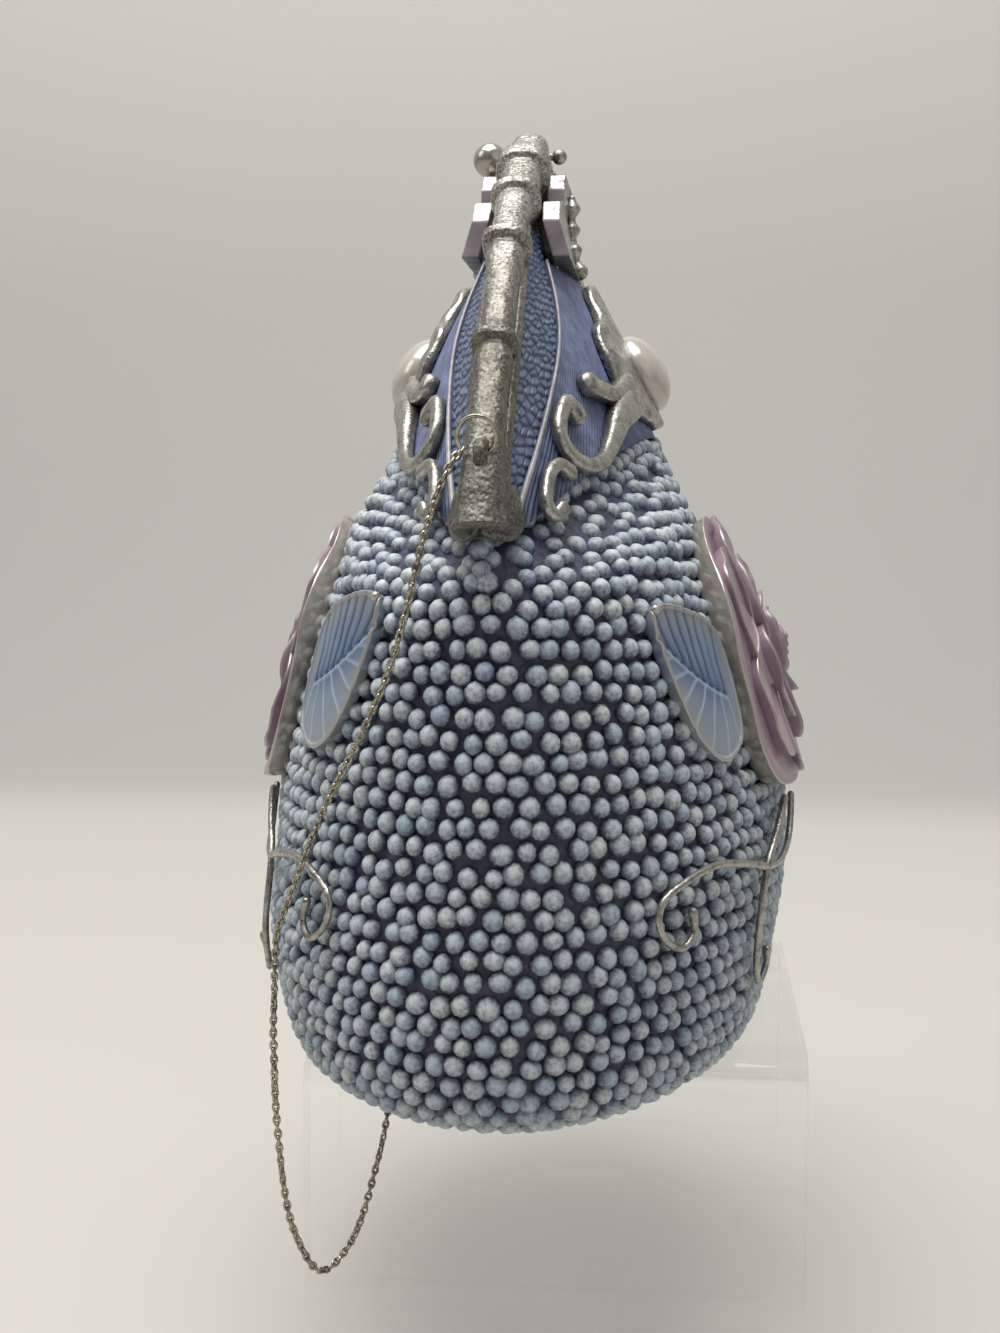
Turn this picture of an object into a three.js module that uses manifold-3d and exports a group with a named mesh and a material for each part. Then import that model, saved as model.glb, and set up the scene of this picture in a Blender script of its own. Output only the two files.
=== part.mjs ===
// Beaded evening bag on a clear display riser, in millimetres, +Z up, +X toward the near end
import * as THREE from 'three';
import { mergeVertices } from 'three/addons/utils/BufferGeometryUtils.js';
import Module from 'manifold-3d';

// Driving sizes
const GAP = 0.3;
const RISER = { width: 50.8, across: 1.6, near: 8, far: -42.6, height: 25.4, sheet: 3, bend: 5, bendSteps: 6 };
const BAG_Y = -1.4;
const BAG_Z = RISER.height + GAP;
const POUCH = { wall: 2.4, spokes: 32, rimEnd: 50.5, rimRise: 9.9, shoulder: 0.88, innerLevels: 6 };
const TENT = { power: 1.7, sheet: 1.2, top: 76.2, seam: 0.3, mouthGap: 0.65 };
const GUSSET = { foot: 54.4, top: 78.6, barGap: 3.3, barSpread: 0.09 };
const WIRE = { stem: 0.4, edge: 0.3, scroll: 0.55, curl: 0.45, chain: 0.5 };
const RING = { radius: 1.25, wire: 0.19, sides: 5, steps: 12, lean: 0.3 };
const LUG = { x: 39.4, z: 57.5, radius: 1.3, hole: 0.56, thick: 1.1, sink: 1.6 };
const PLAQUE = { thick: 1.5, inner: 3.7, lean: 0.3, base: 76.6, leanOver: 3.5 };
const PEARL = { x: 0, z: 66.6, radius: 4.1, height: 2.6, lift: 0.9 };
const ROSE = { x: 0, z: 39.8 };
const LEAF_SHIFT = { front: { x: 4.2, z: 1.2 }, back: { x: 0, z: 0 } };
const FRONT_FLAT = { share: 0.065, from: 13, full: 24, fade: 46, end: 58 };
const CLASP = { pearl: { x: 2, y: -3.8, z: 88.1, r: 1.7 }, knob: { x: 0, y: 2.9, z: 88.7, r: 0.75 } };

// Pouch sections over its bead tops: height, half depth, half width
const POUCH_ROWS = [
  { z: 0, depth: 5, width: 12 },
  { z: 0.7, depth: 8.4, width: 20 },
  { z: 1.4, depth: 11.4, width: 28 },
  { z: 2.2, depth: 17, width: 33.5 },
  { z: 3.4, depth: 21, width: 37 },
  { z: 5, depth: 23.2, width: 39 },
  { z: 8, depth: 24.4, width: 40.2 },
  { z: 12, depth: 25.1, width: 40.7 },
  { z: 17, depth: 25.9, width: 41 },
  { z: 22, depth: 26.2, width: 41 },
  { z: 28, depth: 25.8, width: 41 },
  { z: 36, depth: 23.9, width: 40.8 },
  { z: 44, depth: 21, width: 40.4 },
  { z: 50, depth: 18.2, width: 39.8 },
  { z: 54.5, depth: 16, width: 38.4 },
  { z: 58, depth: 14.2, width: 36.9 },
  { z: 61, depth: 13, width: 35.4 },
];

// Frame sections above the mouth: height, half width at the bars, half depth at the middle, gusset width
const TENT_ROWS = [
  { z: 50, width: 42, depth: 17.8, gusset: 3.2 },
  { z: 54, width: 40.3, depth: 15.8, gusset: 4.6 },
  { z: 58, width: 38.2, depth: 13.9, gusset: 6 },
  { z: 62.5, width: 35.3, depth: 11.9, gusset: 7 },
  { z: 68, width: 31.2, depth: 9.3, gusset: 8.4 },
  { z: 72, width: 27.4, depth: 7.2, gusset: 8.6 },
  { z: 77, width: 22, depth: 4.4, gusset: 8 },
  { z: 81, width: 18, depth: 3, gusset: 7.2 },
];

// Knuckled bar from the near foot to the top of the arch: position and radius
const BAR_ROWS = [
  { x: 40.5, z: 51.7, r: 2.3 }, { x: 40.1, z: 53, r: 2 }, { x: 39.2, z: 55.3, r: 1.8 },
  { x: 38.4, z: 56.6, r: 1.7 }, { x: 36.7, z: 59.3, r: 1.55 }, { x: 34.4, z: 62.2, r: 1.45 },
  { x: 31, z: 66.2, r: 1.45 }, { x: 30.2, z: 67.1, r: 1.75 }, { x: 29.4, z: 68, r: 1.4 },
  { x: 25.6, z: 72.2, r: 1.4 }, { x: 22.4, z: 75.6, r: 1.5 }, { x: 21.4, z: 76.6, r: 1.95 },
  { x: 20.4, z: 77.5, r: 1.5 }, { x: 17, z: 79.9, r: 1.5 }, { x: 14.8, z: 81.2, r: 1.6 },
  { x: 13.8, z: 81.8, r: 2.1 }, { x: 12.8, z: 82.4, r: 1.6 }, { x: 9, z: 84.5, r: 1.7 },
  { x: 7.4, z: 85.4, r: 2.3 }, { x: 4.6, z: 86.9, r: 2.3 }, { x: 3.2, z: 87.7, r: 1.6 },
  { x: 1.8, z: 88.6, r: 1.75 }, { x: 0, z: 89.2, r: 1.8 },
];

// Outlines on a face, as position along the face and height
const LEAF_OUTLINE = [
  [31.5, 45.2], [26.5, 44.9], [22.4, 43], [22, 37], [22.8, 33.6], [26.6, 32], [29.4, 33.9], [31.6, 40.3],
];
const MOUNT_OUTLINE = [
  [0, 75.6], [4.4, 74.4], [7.2, 71.6], [11, 70], [12.4, 66], [11.8, 63.4], [8.4, 62.2], [4, 61.9], [0, 61.5],
  [-4, 61.9], [-8.4, 62.2], [-11.8, 63.4], [-12.4, 66], [-11, 70], [-7.2, 71.6], [-4.4, 74.4],
];
const PLAQUE_OUTLINE = [
  [0, 85.7], [5, 85.7], [8, 84.6], [8, 82.8], [14.4, 81], [14.4, 76.6],
  [-14.4, 76.6], [-14.4, 81], [-8, 82.8], [-8, 84.6], [-5, 85.7],
];
const SCROLL_PATH = [
  [25, 61.2], [25.8, 62.2], [26.9, 61.6], [28.4, 60.2], [28.9, 58.8], [28.2, 57.5],
  [26.2, 56.9], [23.4, 57.5], [20.4, 59.2], [16.8, 61.4], [11, 63.4],
];
const ARM_PATH = [[20.4, 64.2], [17.9, 63.8], [15, 63.6], [10.6, 64.4]];
const CURL_PATH = [
  [29.7, 56.2], [30.7, 56.8], [32.2, 56.2], [33.5, 54.8], [34.1, 53.6], [33.7, 52.7], [32.5, 53.2],
];
const STEM_PATHS = [
  [[13.6, 26.8], [17, 24.8], [20.6, 21.8], [21.6, 17.5], [20.6, 13], [18.4, 10.8], [16.8, 12], [17.6, 13.6]],
  [[9, 26.4], [12, 23], [16.4, 21.6], [20.6, 21.8]],
  [[20.6, 21.8], [26.4, 23.3], [30, 23.8], [32.9, 23.1], [34.8, 21.9], [35.2, 20.3], [34.5, 18.5], [33.1, 17.6],
    [32.1, 18.6], [32.3, 20.4]],
];

// Rose petals in rings: count, reach along the face, reach in height, petal half length, half width, lift
const ROSE_RINGS = [
  { count: 6, reach: 14, rise: 6.6, long: 7.4, wide: 5.8, low: 0.3, high: 1.9, turn: 0.6 },
  { count: 5, reach: 6.2, rise: 4.0, long: 5.6, wide: 4.4, low: 0.7, high: 2.6, turn: 0.9 },
  { count: 1, reach: 0, rise: 0, long: 3.8, wide: 3.2, low: 1.0, high: 3.3, turn: 0 },
];

// Chain from the near ring down over the front, through its hanging loop, and round to the far ring
const CHAIN_TOP = [{ x: 40.2, y: -2.2, z: 57 }, { x: 40.8, y: -4.1, z: 52.4 }];
const CHAIN_ON_POUCH = [
  { x: 38.4, z: 40.6, lift: 1.2 }, { x: 37, z: 34.9, lift: 1.0 }, { x: 34.9, z: 29.3, lift: 1.2 },
  { x: 32.9, z: 23.3, lift: 2.0 }, { x: 30.5, z: 18, lift: 2.0 }, { x: 29.2, z: 14, lift: 1.8 },
];
const CHAIN_LOOP = [
  { x: 28.6, y: -19.9, z: 7 }, { x: 28.2, y: -19.6, z: -3 }, { x: 27.2, y: -18.6, z: -11 },
  { x: 25.2, y: -16.6, z: -15.6 }, { x: 22, y: -14.6, z: -14.4 }, { x: 17, y: -12.8, z: -8 },
  { x: 11.4, y: -12, z: -0.6 }, { x: 7.4, y: -12, z: 0.75 }, { x: 2, y: -13.6, z: 0.7 },
  { x: -8, y: -15.6, z: 0.7 }, { x: -18, y: -15.4, z: 0.7 }, { x: -27, y: -13.4, z: 0.7 },
  { x: -35, y: -9.6, z: 0.8 }, { x: -39.4, y: -8, z: 3.4 }, { x: -41.9, y: -6.6, z: 10 },
  { x: -42.1, y: -5.4, z: 24 }, { x: -41.9, y: -4.4, z: 40 }, { x: -40.9, y: -3.6, z: 51 },
  { x: -40.2, y: -2.2, z: 57 },
];

const group = new THREE.Group();
const bag = new THREE.Group();
bag.position.set(0, BAG_Y, BAG_Z);
group.add(bag);

// Smooth value of one column of a table at a height
function column(rows, name, z) {
  const last = rows.length - 1;
  if (z <= rows[0].z) {
    return rows[0][name];
  }
  if (z >= rows[last].z) {
    return rows[last][name];
  }
  const i = rows.findIndex((row, k) => k < last && z < rows[k + 1].z);
  const slope = (k) => {
    const lo = rows[Math.max(k - 1, 0)];
    const hi = rows[Math.min(k + 1, last)];
    return (hi[name] - lo[name]) / (hi.z - lo.z);
  };
  const span = rows[i + 1].z - rows[i].z;
  const t = (z - rows[i].z) / span;
  const h1 = (1 + 2 * t) * (1 - t) * (1 - t);
  const h2 = t * (1 - t) * (1 - t);
  const h3 = t * t * (3 - 2 * t);
  const h4 = t * t * (t - 1);
  return h1 * rows[i][name] + h2 * span * slope(i) + h3 * rows[i + 1][name] + h4 * span * slope(i + 1);
}

// Welded copy of a geometry with each corner moved by a function, its faces turned outward
function shaped(geometry, move) {
  const plain = new THREE.BufferGeometry();
  const from = (geometry.index ? geometry.toNonIndexed() : geometry).attributes.position;
  const points = [];
  for (let i = 0; i < from.count; i += 1) {
    const p = move(new THREE.Vector3().fromBufferAttribute(from, i));
    points.push(p);
  }
  const kept = [];
  let volume = 0;
  for (let i = 0; i < points.length; i += 3) {
    const [a, b, c] = points.slice(i, i + 3);
    const flat = a.distanceTo(b) < 1e-4 || b.distanceTo(c) < 1e-4 || c.distanceTo(a) < 1e-4;
    if (!flat) {
      volume += a.dot(b.clone().cross(c));
      kept.push([a, b, c]);
    }
  }
  const flat = kept.flatMap(([a, b, c]) => (volume > 0 ? [a, b, c] : [a, c, b])).flatMap((p) => p.toArray());
  plain.setAttribute('position', new THREE.Float32BufferAttribute(flat, 3));
  return mergeVertices(plain, 1e-4);
}

// Front of the bag, which bulges a little less than its back
function flattened(p) {
  const low = THREE.MathUtils.smoothstep(p.z, FRONT_FLAT.from, FRONT_FLAT.full);
  const high = THREE.MathUtils.smoothstep(p.z, FRONT_FLAT.fade, FRONT_FLAT.end);
  const keep = p.y < 0 ? 1 - FRONT_FLAT.share * low * (1 - high) : 1;
  return new THREE.Vector3(p.x, p.y * keep, p.z);
}

// Material and mesh under a plain name
function addPiece(name, geometry, colour, parent = bag) {
  const material = new THREE.MeshStandardMaterial({ color: colour, name: `${name}_finish` });
  const mesh = new THREE.Mesh(parent === bag ? shaped(geometry, flattened) : geometry, material);
  mesh.name = name;
  parent.add(mesh);
  return mesh;
}

// Same piece mirrored across the bag
function mirrored(geometry, alongX, alongY) {
  return shaped(geometry, (p) => new THREE.Vector3(p.x * alongX, p.y * alongY, p.z));
}

// Boolean work
const wasm = await Module();
wasm.setup();
function toSolid(geometry) {
  const welded = shaped(geometry, (p) => p);
  return new wasm.Manifold(new wasm.Mesh({
    numProp: 3,
    vertProperties: new Float32Array(welded.attributes.position.array),
    triVerts: new Uint32Array(welded.index.array),
  }));
}
function toGeometry(solid) {
  const mesh = solid.getMesh();
  const geometry = new THREE.BufferGeometry();
  geometry.setAttribute('position', new THREE.BufferAttribute(new Float32Array(mesh.vertProperties), 3));
  geometry.setIndex(new THREE.BufferAttribute(new Uint32Array(mesh.triVerts), 1));
  return geometry;
}
function joined(geometries) {
  return toGeometry(geometries.map(toSolid).reduce((sum, next) => sum.add(next)));
}

// Height of the pouch mouth over a position along the face
function rimHeight(share) {
  return POUCH.rimEnd + POUCH.rimRise * (1 - share * share);
}

// Half depth of the pouch, and of the frame above it, over a position along the face and a height
function pouchDepth(x, z, inset = 0) {
  const width = column(POUCH_ROWS, 'width', z) - inset;
  const share = Math.min(Math.abs(x) / width, 1);
  const depth = column(POUCH_ROWS, 'depth', z) - inset;
  const up = THREE.MathUtils.smoothstep(z / rimHeight(share), POUCH.shoulder, 1);
  const round = Math.sqrt(1 - share * share);
  const lens = 1 - share ** TENT.power;
  return depth * ((1 - up) * round + up * lens);
}
function tentDepth(x, z) {
  const share = Math.min(Math.abs(x) / column(TENT_ROWS, 'width', z), 1);
  return column(TENT_ROWS, 'depth', z) * (1 - share ** TENT.power);
}

// Point lifted off a face whose depth is a function of place
function lifted(depthAt, x, z, lift) {
  const step = 0.05;
  const slopeX = (depthAt(x + step, z) - depthAt(x - step, z)) / (2 * step);
  const slopeZ = (depthAt(x, z + step) - depthAt(x, z - step)) / (2 * step);
  const normal = new THREE.Vector3(-slopeX, 1, -slopeZ).normalize();
  return new THREE.Vector3(x, depthAt(x, z), z).addScaledVector(normal, lift);
}

// Round bar swept along points
function wire(points, radius, steps, sides = 6) {
  const path = new THREE.CatmullRomCurve3(points, false, 'centripetal');
  const ring = [];
  for (let i = 0; i < sides; i += 1) {
    const a = (i / sides) * Math.PI * 2;
    ring.push(new THREE.Vector2(Math.cos(a) * radius, Math.sin(a) * radius));
  }
  const bar = new THREE.ExtrudeGeometry(new THREE.Shape(ring), { steps, extrudePath: path, bevelEnabled: false });
  return shaped(bar, (p) => p);
}
function wireOn(depthAt, path, radius, steps) {
  return wire(path.map(([x, z]) => lifted(depthAt, x, z, GAP + radius)), radius, steps, 5);
}

// Rounded pad inside a closed outline on a face
function pad(depthAt, outline, low, high, spokes, rings) {
  const loop = new THREE.CatmullRomCurve3(outline.map(([x, z]) => new THREE.Vector3(x, 0, z)), true);
  const middle = new THREE.Vector3();
  outline.forEach(([x, z]) => middle.add(new THREE.Vector3(x, 0, z).divideScalar(outline.length)));
  return shaped(new THREE.SphereGeometry(1, spokes, rings), (p) => {
    const reach = Math.hypot(p.x, p.z);
    const turn = (Math.atan2(p.z, p.x) / (2 * Math.PI) + 1) % 1;
    const edge = loop.getPoint(Math.round(turn * spokes) / spokes % 1);
    const at = middle.clone().lerp(edge, reach);
    return lifted(depthAt, at.x, at.z, low + (high - low) * (0.5 + 0.5 * p.y));
  });
}

// Riser of bent sheet
function makeRiser() {
  const profile = [];
  const { near, far, height, sheet, bend, bendSteps } = RISER;
  const arc = (x, radius, from, to) => {
    for (let i = 0; i <= bendSteps; i += 1) {
      const a = from + ((to - from) * i) / bendSteps;
      profile.push(new THREE.Vector2(x + Math.cos(a) * radius, height - bend + Math.sin(a) * radius));
    }
  };
  profile.push(new THREE.Vector2(near, 0));
  arc(near - bend, bend, 0, Math.PI / 2);
  arc(far + bend, bend, Math.PI / 2, Math.PI);
  profile.push(new THREE.Vector2(far, 0), new THREE.Vector2(far + sheet, 0));
  arc(far + bend, bend - sheet, Math.PI, Math.PI / 2);
  arc(near - bend, bend - sheet, Math.PI / 2, 0);
  profile.push(new THREE.Vector2(near - sheet, 0));
  const strip = new THREE.ExtrudeGeometry(new THREE.Shape(profile), { depth: RISER.width, bevelEnabled: false });
  return shaped(strip, (p) => new THREE.Vector3(p.x, RISER.across + RISER.width / 2 - p.z, p.y));
}

// Hollow pouch turned from one closed profile, then pressed to its oval sections
function makePouch() {
  const outer = POUCH_ROWS.map((row) => ({ share: row.z / POUCH_ROWS.at(-1).z, inset: 0 }));
  const inner = [];
  for (let i = POUCH.innerLevels; i >= 0; i -= 1) {
    const floor = (POUCH.wall + 0.8) / POUCH_ROWS.at(-1).z;
    inner.push({ share: floor + (1 - floor) * (i / POUCH.innerLevels) ** 1.5, inset: POUCH.wall });
  }
  const levels = [...outer, ...inner];
  const profile = [new THREE.Vector2(0, 0)];
  levels.forEach((level, i) => profile.push(new THREE.Vector2(1, i + 1)));
  profile.push(new THREE.Vector2(0, levels.length + 1));
  return shaped(new THREE.LatheGeometry(profile, POUCH.spokes), (p) => {
    const i = Math.round(p.y) - 1;
    if (i < 0) {
      return new THREE.Vector3(0, 0, 0);
    }
    if (i >= levels.length) {
      return new THREE.Vector3(0, 0, levels.at(-1).share * POUCH_ROWS.at(-1).z);
    }
    const angle = Math.atan2(p.z, p.x);
    const { share, inset } = levels[i];
    const z = share * rimHeight(Math.abs(Math.cos(angle)));
    const x = Math.cos(angle) * (column(POUCH_ROWS, 'width', z) - inset);
    return new THREE.Vector3(x, Math.sign(Math.round(p.z * 1e4)) * pouchDepth(x, z, inset), z);
  });
}

// Sheet of the frame between two positions along the face and two heights
function tentSheet(left, right, low, high, across, along) {
  return shaped(new THREE.BoxGeometry(1, 1, 1, across, along, 1), (p) => {
    let z = 55 + (p.y + 0.5) * (high - 55);
    let x = 0;
    for (let i = 0; i < 12; i += 1) {
      x = THREE.MathUtils.lerp(left(z), right(z), p.x + 0.5);
      z = THREE.MathUtils.lerp(low(x, z), high, p.y + 0.5);
    }
    return new THREE.Vector3(x, tentDepth(x, z) + (p.z - 0.5) * TENT.sheet, z);
  });
}
function mouthHeight(x) {
  return rimHeight(Math.min(Math.abs(x) / 38.6, 1)) + TENT.mouthGap;
}
function seamAt(z) {
  return column(TENT_ROWS, 'width', z) - column(TENT_ROWS, 'gusset', z);
}
function makeFan() {
  const edge = (z) => seamAt(z) - TENT.seam;
  return tentSheet((z) => -edge(z), edge, mouthHeight, TENT.top, 12, 5);
}
function makeGusset() {
  const spread = (z) => GUSSET.barGap + GUSSET.barSpread * (z - GUSSET.foot);
  const outer = (z) => column(TENT_ROWS, 'width', z) - spread(z);
  return tentSheet((z) => seamAt(z) + TENT.seam, outer, () => GUSSET.foot, GUSSET.top, 2, 6);
}
function makeEdge() {
  const points = [];
  for (let z = 54; z <= TENT.top; z += 2.6) {
    points.push(lifted(tentDepth, seamAt(z), z, GAP + WIRE.edge));
  }
  return wire(points, WIRE.edge, 9, 5);
}

// Knuckled arch with a pierced lug at each foot
function makeArch() {
  const half = BAR_ROWS.map((row) => ({ ...row }));
  const rows = [...half, ...half.slice(0, -1).reverse().map((row) => ({ ...row, x: -row.x }))];
  const last = rows.length - 1;
  const bar = shaped(new THREE.CylinderGeometry(1, 1, 1, 8, last), (p) => {
    const i = Math.round((p.y + 0.5) * last);
    const before = rows[Math.max(i - 1, 0)];
    const after = rows[Math.min(i + 1, last)];
    const along = new THREE.Vector3(after.x - before.x, 0, after.z - before.z).normalize();
    if (i === 0 || i === last) {
      along.set(0, 0, i === 0 ? 1 : -1);
    }
    const side = new THREE.Vector3(along.z, 0, -along.x);
    const { x, z, r } = rows[i];
    return new THREE.Vector3(x, p.z * r, z).addScaledVector(side, p.x * r);
  });
  let solid = toSolid(bar);
  [1, -1].forEach((end) => {
    const turned = (radius, length) => new THREE.CylinderGeometry(radius, radius, length, 16)
      .translate(LUG.x * end, 0, LUG.z);
    const root = new THREE.BoxGeometry(LUG.sink, LUG.thick, LUG.radius * 1.6)
      .translate((LUG.x - LUG.sink * 0.8) * end, 0, LUG.z);
    const web = shaped(new THREE.CylinderGeometry(LUG.radius, LUG.radius, LUG.thick, 16), (p) => (
      new THREE.Vector3(p.x + LUG.x * end, p.y, p.z + LUG.z)));
    const bore = turned(LUG.hole, LUG.thick * 3);
    solid = solid.add(toSolid(web)).add(toSolid(root)).subtract(toSolid(bore));
  });
  return toGeometry(solid);
}

// Ring through a lug, standing up in front of the bar
function makeRing() {
  const torus = new THREE.TorusGeometry(RING.radius, RING.wire, RING.sides, RING.steps);
  return shaped(torus, (p) => {
    const up = p.y + RING.radius;
    return new THREE.Vector3(LUG.x + p.z + up * RING.lean, p.x, LUG.z + up);
  });
}

// Stepped plaque leaning with the face
function makePlaque() {
  const shape = new THREE.Shape(PLAQUE_OUTLINE.map(([x, z]) => new THREE.Vector2(x, z)));
  const slab = new THREE.ExtrudeGeometry(shape, { depth: PLAQUE.thick, bevelEnabled: false });
  return shaped(slab, (p) => {
    const over = Math.min(p.y - PLAQUE.base, PLAQUE.leanOver);
    return new THREE.Vector3(p.x, PLAQUE.inner + p.z - over * PLAQUE.lean, p.y);
  });
}

// Mount with its scroll arms, cast as one
function makeMount() {
  const plate = pad(tentDepth, MOUNT_OUTLINE, GAP, 1.0, 24, 6);
  const arms = [1, -1].flatMap((end) => [SCROLL_PATH, ARM_PATH].map((path) => (
    wireOn(tentDepth, path.map(([x, z]) => [x * end, z]), WIRE.scroll, Math.round(path.length * 1.4)))));
  return joined([plate, ...arms]);
}

// Domed pearl on the mount
function makePearl() {
  const rim = [];
  for (let i = 0; i < 16; i += 1) {
    const a = (i / 16) * Math.PI * 2;
    rim.push([PEARL.x + Math.cos(a) * PEARL.radius, PEARL.z + Math.sin(a) * PEARL.radius]);
  }
  const seat = new THREE.Vector3(0, 1, 0.55).normalize();
  const base = lifted(tentDepth, PEARL.x, PEARL.z, PEARL.lift + PEARL.height * 0.42);
  const across = new THREE.Vector3(1, 0, 0);
  const rise = across.clone().cross(seat);
  return shaped(new THREE.SphereGeometry(1, 14, 7), (p) => base.clone()
    .addScaledVector(across, p.x * PEARL.radius)
    .addScaledVector(rise, p.z * PEARL.radius)
    .addScaledVector(seat, p.y * PEARL.height * (p.y > 0 ? 0.72 : 0.3)));
}

// Rose of overlapping petals, moulded as one
function makeRose() {
  const petals = ROSE_RINGS.flatMap((ring) => {
    const made = [];
    for (let i = 0; i < ring.count; i += 1) {
      const a = ring.turn + (i / ring.count) * Math.PI * 2;
      const centre = [ROSE.x + Math.cos(a) * ring.reach, ROSE.z + Math.sin(a) * ring.rise];
      const outline = [];
      for (let k = 0; k < 10; k += 1) {
        const b = (k / 10) * Math.PI * 2;
        const out = Math.cos(b) * ring.long;
        const side = Math.sin(b) * ring.wide;
        outline.push([
          centre[0] + out * Math.cos(a) - side * Math.sin(a),
          centre[1] + out * Math.sin(a) + side * Math.cos(a),
        ]);
      }
      made.push(pad(pouchDepth, outline, ring.low, ring.high, 8, 4));
    }
    return made;
  });
  return joined(petals);
}
function makeLeaf(shift) {
  return pad(pouchDepth, LEAF_OUTLINE.map(([x, z]) => [x + shift.x, z + shift.z]), GAP, 1.2, 14, 4);
}
function makeStem() {
  return joined(STEM_PATHS.map((path) => wireOn(pouchDepth, path, WIRE.stem, Math.round(path.length * 1.2))));
}

// Chain as one plain bar along its whole way
function makeChain() {
  const top = CHAIN_TOP.map((p) => new THREE.Vector3(p.x, p.y, p.z));
  const flank = CHAIN_ON_POUCH.map(({ x, z, lift }) => {
    const p = lifted(pouchDepth, x, z, lift);
    return new THREE.Vector3(p.x, -p.y, p.z);
  });
  const loop = CHAIN_LOOP.map((p) => new THREE.Vector3(p.x, p.y, p.z));
  return wire([...top, ...flank, ...loop], WIRE.chain, 68, 8);
}

// Everything in its place
addPiece('riser', makeRiser(), 0xe8eef2, group);
addPiece('pouch', makePouch(), 0x8c98ac);
addPiece('arch_bar', makeArch(), 0x9a9484);
addPiece('clasp_pearl_front', new THREE.SphereGeometry(CLASP.pearl.r, 12, 8)
  .translate(CLASP.pearl.x, CLASP.pearl.y, CLASP.pearl.z), 0xe6ddca);
addPiece('clasp_knob_back', new THREE.SphereGeometry(CLASP.knob.r, 8, 5)
  .translate(CLASP.knob.x, CLASP.knob.y, CLASP.knob.z), 0x9a9484);
[{ face: 'front', y: -1 }, { face: 'back', y: 1 }].forEach(({ face, y }) => {
  addPiece(`fan_panel_${face}`, mirrored(makeFan(), 1, y), 0x66709c);
  addPiece(`top_plaque_${face}`, mirrored(makePlaque(), 1, y), 0x9a9484);
  addPiece(`face_mount_${face}`, mirrored(makeMount(), 1, y), 0x9a9484);
  addPiece(`face_pearl_${face}`, mirrored(makePearl(), 1, y), 0xe6ddca);
  addPiece(`rose_${face}`, mirrored(makeRose(), 1, y), 0x96738a);
  [{ end: 'near', x: 1 }, { end: 'far', x: -1 }].forEach(({ end, x }) => {
    addPiece(`gusset_${end}_${face}`, mirrored(makeGusset(), x, y), 0x5a6e96);
    addPiece(`gusset_edge_${end}_${face}`, mirrored(makeEdge(), x, y), 0x9a9484);
    addPiece(`end_curl_${end}_${face}`, mirrored(wireOn(tentDepth, CURL_PATH, WIRE.curl, 9), x, y), 0x9a9484);
    addPiece(`leaf_${end}_${face}`, mirrored(makeLeaf(LEAF_SHIFT[face]), x, y), 0x6e8cb4);
    addPiece(`stem_${end}_${face}`, mirrored(makeStem(), x, y), 0x9a9484);
  });
});
addPiece('jump_ring_near', makeRing(), 0x8a8470);
addPiece('jump_ring_far', mirrored(makeRing(), -1, 1), 0x8a8470);
addPiece('chain', makeChain(), 0x8a8470);

export default group;
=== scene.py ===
import math

import bmesh
import bpy
import numpy as np
from mathutils import Matrix, Vector, noise


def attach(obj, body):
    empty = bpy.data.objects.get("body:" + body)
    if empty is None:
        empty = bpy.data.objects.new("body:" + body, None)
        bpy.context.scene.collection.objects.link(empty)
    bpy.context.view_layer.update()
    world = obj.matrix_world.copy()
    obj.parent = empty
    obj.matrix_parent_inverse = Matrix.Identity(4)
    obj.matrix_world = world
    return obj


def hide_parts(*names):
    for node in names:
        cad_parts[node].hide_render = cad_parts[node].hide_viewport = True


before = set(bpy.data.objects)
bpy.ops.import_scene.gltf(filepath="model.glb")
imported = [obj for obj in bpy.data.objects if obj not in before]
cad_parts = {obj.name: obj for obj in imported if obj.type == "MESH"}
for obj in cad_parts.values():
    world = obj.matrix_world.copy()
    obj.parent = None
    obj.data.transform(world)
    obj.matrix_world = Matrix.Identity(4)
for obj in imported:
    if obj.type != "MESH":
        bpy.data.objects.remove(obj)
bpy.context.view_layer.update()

bl_info = {
    "name": "Beaded evening bag",
    "version": (1, 0, 0),
    "blender": (4, 5, 0),
    "location": "3D View > Sidebar > Evening Bag",
    "description": "Dresses a beaded evening bag on its clear riser",
    "category": "Object",
}

# Driving sizes in millimetres, close to those of the part's source
MM = 0.001
BAG_Y = -1.4
BASE = 25.7
GAP = 0.3
RIM_END = 50.5
RIM_RISE = 9.9
SHOULDER = 0.88
TENT_POWER = 1.7
TENT_TOP = 76.2
WALL = 2.4
RISER = {"width": 50.8, "across": 1.6, "near": 8.0, "far": -42.6, "height": 25.4, "sheet": 3.0, "bend": 5.0,
         "round": 0.22}
POUCH = {"outside": 0.66, "outer_power": 1.35, "inner_power": 1.1, "inner_depth": 0.94, "floor": 0.75,
         "inner_floor": 3.2}
FAN = {"span": 62, "low": 55, "relief": 0.2, "sunk": 0.18, "back": 0.9, "seam_gap": 0.3, "mouth_gap": 0.35,
       "mouth_half": 38.6}
GUSSET = {"foot": 53.6, "top": 79.0, "bar_gap": 2.6, "bar_spread": 0.07, "seam_gap": 0.1, "relief": 0.2,
          "back": 0.8}
GUSSET_LINE = {"foot": 53.2, "lift": 0.18, "wire": 0.16, "foot_wire": 0.12, "fade": (54, 64)}
SCALES = {"finer": 0.4, "largest": 1.1, "wide": 1.35, "row": 0.8, "off": 0.3, "drop": 0.26}
BORDER = {"below": 0.6, "outward": 0.5, "lift": 0.05, "half": 0.5, "foot_half": 0.3, "fade": (53, 58),
          "flat": 0.7}
WEB = {"thick": 0.45, "edge_drop": 0.2, "back": -0.3}
# Painted top light on the bar: from the lower height of the fade up, its silver pales by the share toward
# the bright silver, which leaves the feet darker as painted shade
BAR_TOP_LIGHT = {"share": 0.85, "fade": (63, 84)}
COLLAR = {"height": 0.36, "start": (-1.0, -0.8), "end": (-0.15, 0.1)}
LUG = {"x": 39.4, "z": 57.5, "radius": 1.3, "hole": 0.56, "thick": 1.1, "round": 0.2}
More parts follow.
